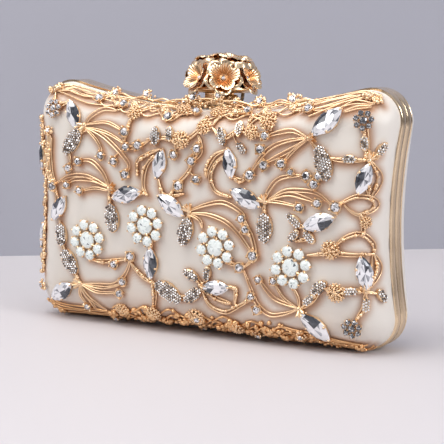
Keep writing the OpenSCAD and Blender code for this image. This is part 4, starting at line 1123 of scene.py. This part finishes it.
# Nuggets along the garlands: edge, start, end, how many, how far in from and to, smallest and largest
nuggets = []
for edge, start, end, count, near, far, small, large in (
    ("top", -0.60, -0.06, 16, 2.4, 6.4, 0.6, 1.2), ("top", 0.06, 0.62, 16, 2.4, 6.4, 0.6, 1.2),
    ("top", -0.96, -0.88, 9, 2.6, 6.0, 0.7, 1.3), ("top", 0.88, 0.96, 9, 2.6, 6.0, 0.7, 1.3),
    ("low", -0.52, 0.66, 70, 0.6, 4.5, 0.8, 1.7), ("low", -0.50, 0.64, 46, 3.6, 8.0, 0.8, 1.8),
    ("low", -0.46, 0.52, 24, 6.4, 10.0, 0.8, 1.5), ("low", 0.66, 0.90, 20, 1.6, 5.0, 0.6, 1.2),
    ("low", -0.99, -0.90, 10, 2.2, 6.0, 0.6, 1.3), ("left", -0.92, 0.92, 100, 1.6, 7.0, 0.7, 1.7),
):
    for _ in range(count):
        u, v = edge_place(edge, casting_chance.uniform(start, end), casting_chance.uniform(near, far) * MM)
        size = casting_chance.uniform(small, large) * MM
        nuggets.append(turned(on_front(u, v, casting_chance.uniform(0.8, 1.8) * MM),
                              casting_chance.uniform(0, 6), size, squash=0.75))
# Clusters of them, like half-open buds: edge, share along it, how far in, and radius
per_cluster = 9
cluster_turn = 2.4
cluster_lift = 1.4 * MM
cluster_steep = 0.55
for edge, along, inside, radius in (
    ("low", -0.50, 4.6, 2.8), ("low", -0.42, 6.8, 3.2), ("low", -0.33, 3.4, 2.8), ("low", -0.24, 6.4, 3.4),
    ("low", -0.18, 3.6, 3.0), ("low", -0.08, 4.6, 2.8), ("low", 0.02, 6.4, 3.2), ("low", 0.13, 3.6, 3.0),
    ("low", 0.21, 6.0, 3.4), ("low", 0.29, 3.4, 2.8), ("low", 0.40, 5.6, 3.0), ("low", 0.48, 3.6, 2.8),
    ("low", 0.56, 4.8, 2.6), ("top", -0.86, 4.6, 2.6), ("top", 0.87, 4.4, 2.4), ("top", -0.47, 5.0, 2.0),
    ("top", -0.38, 3.4, 2.0), ("top", -0.20, 4.6, 2.2), ("top", 0.20, 4.0, 2.2), ("top", 0.36, 4.4, 2.2),
    ("top", 0.50, 4.2, 2.0), ("low", 0.85, 3.4, 2.2), ("low", -0.85, 3.6, 2.2), ("left", 0.62, 4.4, 2.2),
    ("left", 0.30, 3.4, 2.0), ("left", -0.06, 3.4, 2.0), ("left", -0.38, 3.8, 2.2), ("left", -0.66, 4.2, 2.2),
):
    u, v = edge_place(edge, along, inside * MM)
    heart = on_front(u, v, cluster_lift)
    for k in range(per_cluster):
        angle = k * cluster_turn
        reach = radius * (0.25 + 0.75 * casting_chance.random())
        spot = heart @ moved(reach * math.cos(angle) * MM, reach * math.sin(angle) * MM,
                             (radius - reach) * cluster_steep * MM)
        nuggets.append(turned(spot, angle, casting_chance.uniform(0.34, 0.6) * radius * MM, squash=0.7))
# Single ones along the vines
per_vine = 9
vine_nugget_lift = 1.2 * MM
vine_steps = 8
for places in vine_shares:
    for _ in range(per_vine):
        k = casting_chance.randrange(vine_steps // 2, vine_steps * (len(places) - 1))
        u, v = smooth_path(places, vine_steps)[k]
        nuggets.append(turned(on_front(u, v, vine_nugget_lift), casting_chance.uniform(0, 6),
                              casting_chance.uniform(0.6, 1.2) * MM))
# All of them stay clear of the table, though their roughness stands out past their radius
nugget_reach = 1.3
table_gap = 0.3 * MM
for nugget in nuggets:
    nugget.translation.z = max(nugget.translation.z, nugget_reach * nugget.to_scale().x + table_gap)

# Those of the bottom garland take its darker copy of the gold, painted shade near the table
bottom_top = 14 * MM
for name, gold, is_low in (("soldered_nuggets", cast_gold, False), ("bottom_nuggets", shaded_low_gold, True)):
    places = [nugget for nugget in nuggets if (nugget.translation.z < bottom_top) == is_low]
    solder_on(set_copies(lump, places, name), gold=gold)

# Flared buds beyond each hub, where the sprays' wires are gathered and opened like a trumpet
# Each hub: its shares of the half width and of the height, and the way its buds open, in degrees
hub_shares = [
    (-0.64, 0.82, 215), (-0.48, 0.57, 5), (0.61, 0.81, 15), (0.40, 0.56, 130), (-0.01, 0.50, 120),
    (-0.67, 0.16, 180), (0.58, 0.16, -60), (0.90, 0.74, 60), (0.90, 0.25, 100), (0.06, 0.20, 20),
]
bud = whorl("bud", 0.08, root=0.12, reach=0.62, rise=1.9, curl=0.3, spread=36, rib_height=0.04)
shade_smooth(60)
bud_size = 2.6 * MM
bud_lift = 1.0 * MM
bud_tilt = math.radians(74)
hub_r = 1.5 * MM
hub_lift = 1.1 * MM
bud_places = [on_front(u, v, bud_lift, math.radians(turn + lean)) @ Matrix.Rotation(bud_tilt, 4, "Y")
              @ scaled(bud_size, bud_size, bud_size) for u, v, turn in hub_shares for lean in (-32, 24)]
hub_places = [turned(on_front(u, v, hub_lift), k, hub_r, squash=0.7)
              for k, (u, v, _) in enumerate(hub_shares)]
solder_on(join(set_copies(bud, bud_places, "flared_buds"), set_copies(lump, hub_places, "spray_hubs")))
drop(bud, lump)

# ------------------------------
# Settings: cups with four claws under the round stones, pointed-oval trays with tip claws under
# the marquises, and leaf-shaped trays for the grains. Cast, tumbled and plated.
# ------------------------------


def extrude(rise):
    bpy.ops.mesh.extrude_region_move(TRANSFORM_OT_translate={"value": (0, 0, rise)})


# A tapered cup of radius one and height one, with claws that fold over its rim
cup = new_shape(bpy.ops.mesh.primitive_cone_add, "cup", vertices=16, radius1=0.72, radius2=1.0, depth=1,
                end_fill_type="NGON", location=(0, 0, 0.5))
bpy.ops.object.transform_apply()
choose(cup, "polygons", lambda face: face.normal.z > 0.9)
with editing(None):
    bpy.ops.mesh.inset(thickness=0.14)
    extrude(-0.3)
claw = granule("claw")
claw_places = [place @ scaled(1, 0.8, 2.6) for place in ring_of(4, 0.93, 0.3, 0.98, 0.4)]
cup = join(cup, set_copies(claw, claw_places, "claws"))
drop(claw)
shade_smooth(40)
cup_wider = 1.4
cup_taller = 1.1
cup_places = [place @ spun(casting_chance.uniform(0, 6))
              @ scaled(half * cup_wider, half * cup_wider, tall * cup_taller)
              for place, half, _, tall in seats("stone_cups")]
solder_on(set_copies(cup, cup_places, "claw_cups"), "stone_cups")

trays = tumble("marquise_settings", "marquise_trays", 0.25 * MM)
claw = granule("tray_claw")
claw_size = (0.8 * MM, 0.55 * MM, 1.0 * MM)
claw_rise = 0.35
claw_places = [
    place @ moved(x * half_length, y * half_width, claw_rise * tall) @ scaled(*claw_size)
    for place, half_length, half_width, tall in seats("marquise_stones")
    for x, y in ((0.93, 0), (-0.93, 0), (0.3, 0.9), (-0.3, -0.9))]
solder_on(join(trays, set_copies(claw, claw_places, "tray_claws")), "marquise_settings")

leaf = new_shape(bpy.ops.mesh.primitive_circle_add, "leaf", vertices=20, radius=1, fill_type="NGON")
with editing():
    extrude(0.85)
    bpy.ops.mesh.inset(thickness=0.1)
    extrude(0.2)
    bpy.ops.transform.resize(value=(0.8, 0.8, 1), center_override=(0, 0, 1))
for vertex in leaf.data.vertices:
    vertex.co.y *= (1.05 - 0.3 * abs(vertex.co.x) ** 2 + 0.15 * vertex.co.x)
shade_smooth(40)
leaf_longer = 1.12
leaf_wider = 1.5
leaf_seats = [(place, half_length * leaf_longer, half_width * leaf_wider, tall)
              for place, half_length, half_width, tall in seats("leaf_plates")]
leaf_places = [place @ scaled(*halves_and_height) for place, *halves_and_height in leaf_seats]
solder_on(set_copies(leaf, leaf_places, "leaf_trays"), "leaf_plates")
drop(leaf)

# ------------------------------
# Cut stones: glass with a foiled back. Each facet mirrors one patch of the studio, so each is
# painted with its own brightness, and the marquises have one dark wedge of facets each.
# ------------------------------

stone_chance = random.Random(11)


def cut_stone(name, corners, rows, outline=lambda x, y: (x, y)):
    """A faceted stone of half length one, from its girdle up through rows of (share of the
    outline, height) to its table."""
    stone = new_shape(bpy.ops.mesh.primitive_circle_add, name, vertices=corners, radius=1, fill_type="NGON")
    share, height = 1, 0
    with editing():
        for next_share, next_height in rows:
            extrude(next_height - height)
            bpy.ops.transform.resize(value=(next_share / share, next_share / share, 1),
                                     center_override=(0, 0, next_height))
            share, height = next_share, next_height
        bpy.ops.mesh.poke()
        bpy.ops.mesh.select_all(action="SELECT")
        bpy.ops.mesh.quads_convert_to_tris(quad_method="SHORTEST_DIAGONAL")
    for vertex in stone.data.vertices:
        vertex.co.x, vertex.co.y = outline(vertex.co.x, vertex.co.y)
    with editing():
        bpy.ops.mesh.normals_make_consistent(inside=False)
    bpy.ops.object.shade_flat()
    return stone


def set_stones(pattern, places, name, paint):
    """Copies of a stone with every facet painted by the given rule, which takes the facet's
    centre and the stone's turn."""
    hearts = [face.center.copy() for face in pattern.data.polygons]
    stones = set_copies(pattern, places, name)
    tint = stones.data.color_attributes.new("facet", "FLOAT_COLOR", "CORNER")
    faces = iter(stones.data.polygons)
    for _ in places:
        turn = stone_chance.uniform(0, math.tau)
        for heart, face in zip(hearts, faces):
            colour = paint(heart, turn)
            for corner in face.loop_indices:
                tint.data[corner].color = colour
    return stones


def glass(name, metallic, roughness):
    """Foiled glass: each facet's painted brightness, a painted reflection of the studio, under a clear
    polished coat.
    """
    material, tree, shader = new_material(name, tone(235, 235, 238), roughness, metallic=metallic)
    facet = add_node(tree, "Attribute", attribute_name="facet", out="Color")
    fill(shader, Base_Color=facet, Coat_Weight=1.0, Coat_Roughness=0.03)
    return material


def grey_of(low, high, tint):
    """One facet's brightness, the same in all three colours but for a slight tint."""
    level = stone_chance.uniform(low, high)
    return tone(*[min(255, level + c) for c in tint])


def by_lot(*kinds):
    """A rule that draws each facet's kind by lot, from kinds of (below which lot, low, high, tint)."""
    def paint(heart, turn):
        lot = stone_chance.random()
        return grey_of(*next(looks for below, *looks in kinds if lot < below))
    return paint


def with_wedge(dark_from, dark_wide):
    """A bright stone's rule, with a dark wedge that starts some way out from its middle."""
    bright = by_lot((0.28, 120, 205, (0, 2, 8)), (1, 238, 250, (2, 2, 5)))

    def paint(heart, turn):
        angle = (math.atan2(heart.y * 2, heart.x) - turn) % math.tau
        if angle < dark_wide and heart.length > dark_from:
            return grey_of(44, 88, (0, 4, 12))
        return bright(heart, turn)
    return paint


clear_glass = glass("foiled_crystal", 0.35, 0.12)
round_facet = by_lot((0.42, 236, 250, (2, 1, 4)), (0.72, 150, 206, (2, 1, 4)), (1, 52, 110, (2, 1, 4)))

marquise = cut_stone("marquise", 14, [(1, 0.28), (0.8, 0.68), (0.52, 1)],
                     outline=lambda x, y: (x, y * (1 - abs(x) ** 1.6) ** 0.32))
marquise_longer = 1.02
marquise_wider = 1.12
places = [place @ scaled(half_length * marquise_longer, half_width * marquise_wider, tall)
          for place, half_length, half_width, tall in seats("marquise_stones")]
marquises = set_stones(marquise, places, "marquise_crystals", with_wedge(0.1, 1.0))
finish_piece(marquises, clear_glass, "front_half", "clear_stone", "marquise_stones")

round_cut = cut_stone("round_cut", 8, [(1, 0.2), (0.86, 0.62), (0.55, 1)])
round_wider = 1.2
places = [turned(place, stone_chance.uniform(0, 6), round_wider * half, squash=tall / half)
          for place, half, _, tall in seats("round_stones")]
rounds = set_stones(round_cut, places, "round_crystals", round_facet)
finish_piece(rounds, clear_glass, "front_half", "clear_stone", "round_stones")

places = [place @ scaled(half, half, tall) for place, half, _, tall in throats]
sparks = set_stones(round_cut, places, "throat_crystals", with_wedge(0.5, 1.2))
finish_piece(sparks, clear_glass, "clasp", "clear_stone", "rose_crystals")

# ------------------------------
# Flowers of nine milky glass stones and of eight smoky ones, each stone in a small claw cup,
# and the leaves' grains, which are tiny round stones set on the leaf trays.
# ------------------------------

milk_glass = glass("opal_glass", 0.0, 0.18)
smoke_glass = glass("smoky_glass", 0.4, 0.12)
# Painted reflection: each facet of these stones is painted its own brightness by lot, one patch of the studio
# mirrored in it; only the slight tint is the glass's own
milky_facet = by_lot((0.03, 95, 150, (0, 8, 14)), (0.24, 204, 222, (0, 10, 8)), (1, 232, 243, (0, 8, 5)))
smoky_facet = by_lot((0.2, 185, 235, (0, 2, 6)), (1, 62, 128, (0, 1, 6)))
flower_cups = []


def glass_flower(node, petals, pattern, rule, kind, slot, wider, taller):
    """The stones of one flower, on the given seats of its petals."""
    places = [turned(place, stone_chance.uniform(0, 6), half * wider, squash=tall * taller / (half * wider))
              for place, half, _, tall in petals]
    stones = set_stones(pattern, places, node + "_stones", rule)
    finish_piece(stones, kind, "front_half", slot, node)
    flower_cups.extend(petals)


# The opals are a little larger than their seats and stand a little further out
opal_wider = 1.16
opal_spread = 0.1
cabochon = cut_stone("cabochon", 12, [(0.97, 0.3), (0.8, 0.68), (0.45, 0.95)])
for k in range(1, 5):
    petals = seats(f"opal_flower_{k}")
    centre = sum((place.translation for place, _, _, _ in petals), Vector()) / len(petals)
    petals = [(Matrix.Translation(opal_spread * (place.translation - centre)) @ place,
               opal_wider * half, width, tall) for place, half, width, tall in petals]
    glass_flower(f"opal_flower_{k}", petals, cabochon, milky_facet, milk_glass, "opal_stone", 1, 1.2)
for k in range(1, 4):
    glass_flower(f"smoky_flower_{k}", seats(f"smoky_flower_{k}"), round_cut,
                 smoky_facet if k > 1 else round_facet, smoke_glass, "smoky_stone", 1.05, 1.1)
cup_depth = 1.3 * MM
cup_rim = 1.02
cup_over = 1.15
turn_by_size = 9000
cup_places = [place @ moved(0, 0, -cup_depth) @ spun(half * turn_by_size)
              @ scaled(half * cup_rim, half * cup_rim, cup_depth * cup_over)
              for place, half, _, _ in flower_cups]
solder_on(set_copies(cup, cup_places, "flower_cups"), "flower_plates")


def pave_facet(heart, turn):
    """A grain's rule of painted reflection: dark sides, painted shade, and a top whose painted brightness
    goes by how the grain is turned.
    """
    if heart.z < 0.6:
        return grey_of(70, 120, (14, 2, -4))
    if turn < 3.4:
        return grey_of(236, 249, (4, 2, 0))
    if turn < 5.0:
        return grey_of(170, 205, (10, 0, -8))
    return grey_of(84, 120, (8, 0, -2))


grain_r = 0.66 * MM
grain_tall = 0.75 * MM
grain_pitch = 1.36 * MM
row_closer = 0.87
grain_sunk = 0.15 * MM
leaf_filled = 0.95
leaf_bulge = 0.5 * MM
grain_places = []
for place, half_length, half_width, tall in leaf_seats:
    rows_up, across_n = int(half_width / grain_pitch) + 1, int(half_length / grain_pitch) + 1
    for i in range(-across_n, across_n + 1):
        for j in range(-rows_up, rows_up + 1):
            x = (i + 0.5 * (j % 2)) * grain_pitch
            y = j * grain_pitch * row_closer
            if (x / half_length) ** 2 + (y / half_width) ** 2 < leaf_filled:
                bulge = leaf_bulge * (1 - (y / half_width) ** 2) * (1 - (x / half_length) ** 2)
                grain_places.append(place @ moved(x, y, tall + bulge - grain_sunk)
                                    @ spun(stone_chance.uniform(0, 6)) @ scaled(grain_r, grain_r, grain_tall))
spark = cut_stone("spark", 6, [(0.9, 0.55), (0.5, 1)])
grains = set_stones(spark, grain_places, "leaf_grains", pave_facet)
finish_piece(grains, clear_glass, "front_half", "clear_stone", "pave_grains")

# ------------------------------
# Castings that stand up over the top edge, in front of the clasp's hook, and single stones along
# the other edges, with their claws, crossing wires and lumps of solder. They move with the front.
# ------------------------------


def before_edge(u, v, gap):
    """A place that stands forward of the front half's edge, and looks forward and a little up."""
    return set_at(before_satin(u, v, gap), Vector((1, 0, 0)), Vector((0, -1, 0.25)).normalized())


crest_lump = granule("crest_lump", 0.22, stone_chance, fine=True)
crest_stones, crest_cups, crest_lumps = [], [], []
# Lumps under each of the high stones, round every stone, along the edge and before the hook
lumps_under, lumps_round, lumps_along, lumps_before_hook = 14, 8, 26, 34
high_rise = 3
crest_cup_wider = 1.15
crest_cup_tall = 1.3 * MM
stone_rise = 1.1 * MM
# The stones' places as shares of the half width and of the height, their radius and their rise
for u, v, radius, rise in (
    (-0.554, 0.950, 1.8, 2.0), (-0.368, 0.947, 1.7, 2.0), (-0.080, 0.942, 1.9, 5.2), (0.064, 0.953, 1.8, 5.2),
    (0.274, 0.935, 1.8, 2.0), (0.451, 0.947, 2.0, 2.0), (-0.137, 0.925, 1.3, 3.6), (0.150, 0.930, 1.3, 3.6),
    (-0.865, 0.79, 1.3, 1.6), (-0.955, 0.57, 1.4, 1.4), (-0.955, 0.30, 1.5, 1.4), (-0.93, 0.13, 1.5, 1.4),
    (-0.50, 0.035, 1.5, 1.9), (-0.355, 0.03, 1.5, 1.9), (-0.15, 0.028, 1.5, 1.9), (0.0, 0.033, 1.5, 1.9),
    (0.335, 0.045, 1.6, 1.9), (0.575, 0.06, 1.5, 1.9), (0.03, 0.085, 1.7, 2.6),
):
    seat_here = before_edge(u, v, rise * MM) if v > 0.5 else on_front(u, v, rise * MM)
    seat_here.translation.z = max(seat_here.translation.z, (1.5 * radius + 0.9) * MM)
    for _ in range(lumps_under if rise > high_rise else 0):
        size = stone_chance.uniform(0.7, 1.3) * MM
        under = before_edge(u + stone_chance.uniform(-0.05, 0.05), v - stone_chance.uniform(0.005, 0.035),
                            stone_chance.uniform(2.4, rise) * MM)
        crest_lumps.append(turned(under, u * 90, size, squash=0.8))
    cup_r = crest_cup_wider * radius * MM
    crest_cups.append(seat_here @ scaled(cup_r, cup_r, crest_cup_tall))
    crest_stones.append(turned(seat_here, stone_chance.uniform(0, 6), radius * MM, rise=stone_rise,
                               squash=0.7))
    for k in range(lumps_round):
        angle = k * math.tau / lumps_round + stone_chance.uniform(-0.3, 0.3)
        reach = (radius + stone_chance.uniform(0.4, 1.3)) * MM
        spot = seat_here @ moved(reach * math.cos(angle), reach * math.sin(angle), 0.3 * MM)
        crest_lumps.append(turned(spot, angle, stone_chance.uniform(0.6, 1.15) * MM, squash=0.8))
for _ in range(lumps_along):
    u = stone_chance.uniform(-0.42, 0.50)
    v = edge_place("top", u, stone_chance.uniform(-2.6, 1.6) * MM)[1]
    size = stone_chance.uniform(0.5, 1.15) * MM
    crest_lumps.append(turned(before_edge(u, v, 2.4 * MM + 0.8 * size), u * 90, size, squash=0.8))
for _ in range(lumps_before_hook):
    size = stone_chance.uniform(0.6, 1.1) * MM
    ahead_of_hook = before_edge(stone_chance.uniform(-0.16, 0.2), stone_chance.uniform(0.90, 0.938),
                                stone_chance.uniform(4.6, 6.2) * MM)
    crest_lumps.append(turned(ahead_of_hook, 2000 * size, size, squash=0.8))
for spot in crest_lumps:
    spot.translation.z = max(spot.translation.z, 1.4 * spot.to_scale().x + 0.6 * MM)
# Wires along the top edge: start, end, distances in, wave, turns, phase, radius and lift
crest_wires = draw_wires("crest_wires", [edge_wire("top", *row, ahead=True) for row in (
    (-0.60, 0.0, (0.6, -0.8, -2.0), 0.7, 5, 0.0, 0.5, 2.9),
    (-0.20, 0.56, (0.6, -1.4, 0.2), 0.8, 6, 0.8, 0.45, 2.9),
    (-0.24, 0.24, (0.6, -2.4, 0.6), 0.7, 4, 0.8, 0.5, 3.4),
    (-0.26, 0.27, (0.0, -3.4, 0.0), 0.4, 3, 2.0, 0.5, 5.4),
    (-0.22, 0.22, (1.4, -1.6, 1.4), 0.8, 3, 0.4, 0.45, 5.0),
    (0.06, 0.60, (2.0, 0.2, 0.6), 0.7, 4, 2.4, 0.5, 2.9),
)])
solder_on(join(crest_wires, set_copies(cup, crest_cups, "crest_cups"),
               set_copies(crest_lump, crest_lumps, "crest_lumps")))
crest_crystals = set_stones(round_cut, crest_stones, "crest_crystals", round_facet)
finish_piece(crest_crystals, clear_glass, "front_half", "clear_stone")
drop(cup, claw, grain, marquise, round_cut, cabochon, spark, crest_lump)
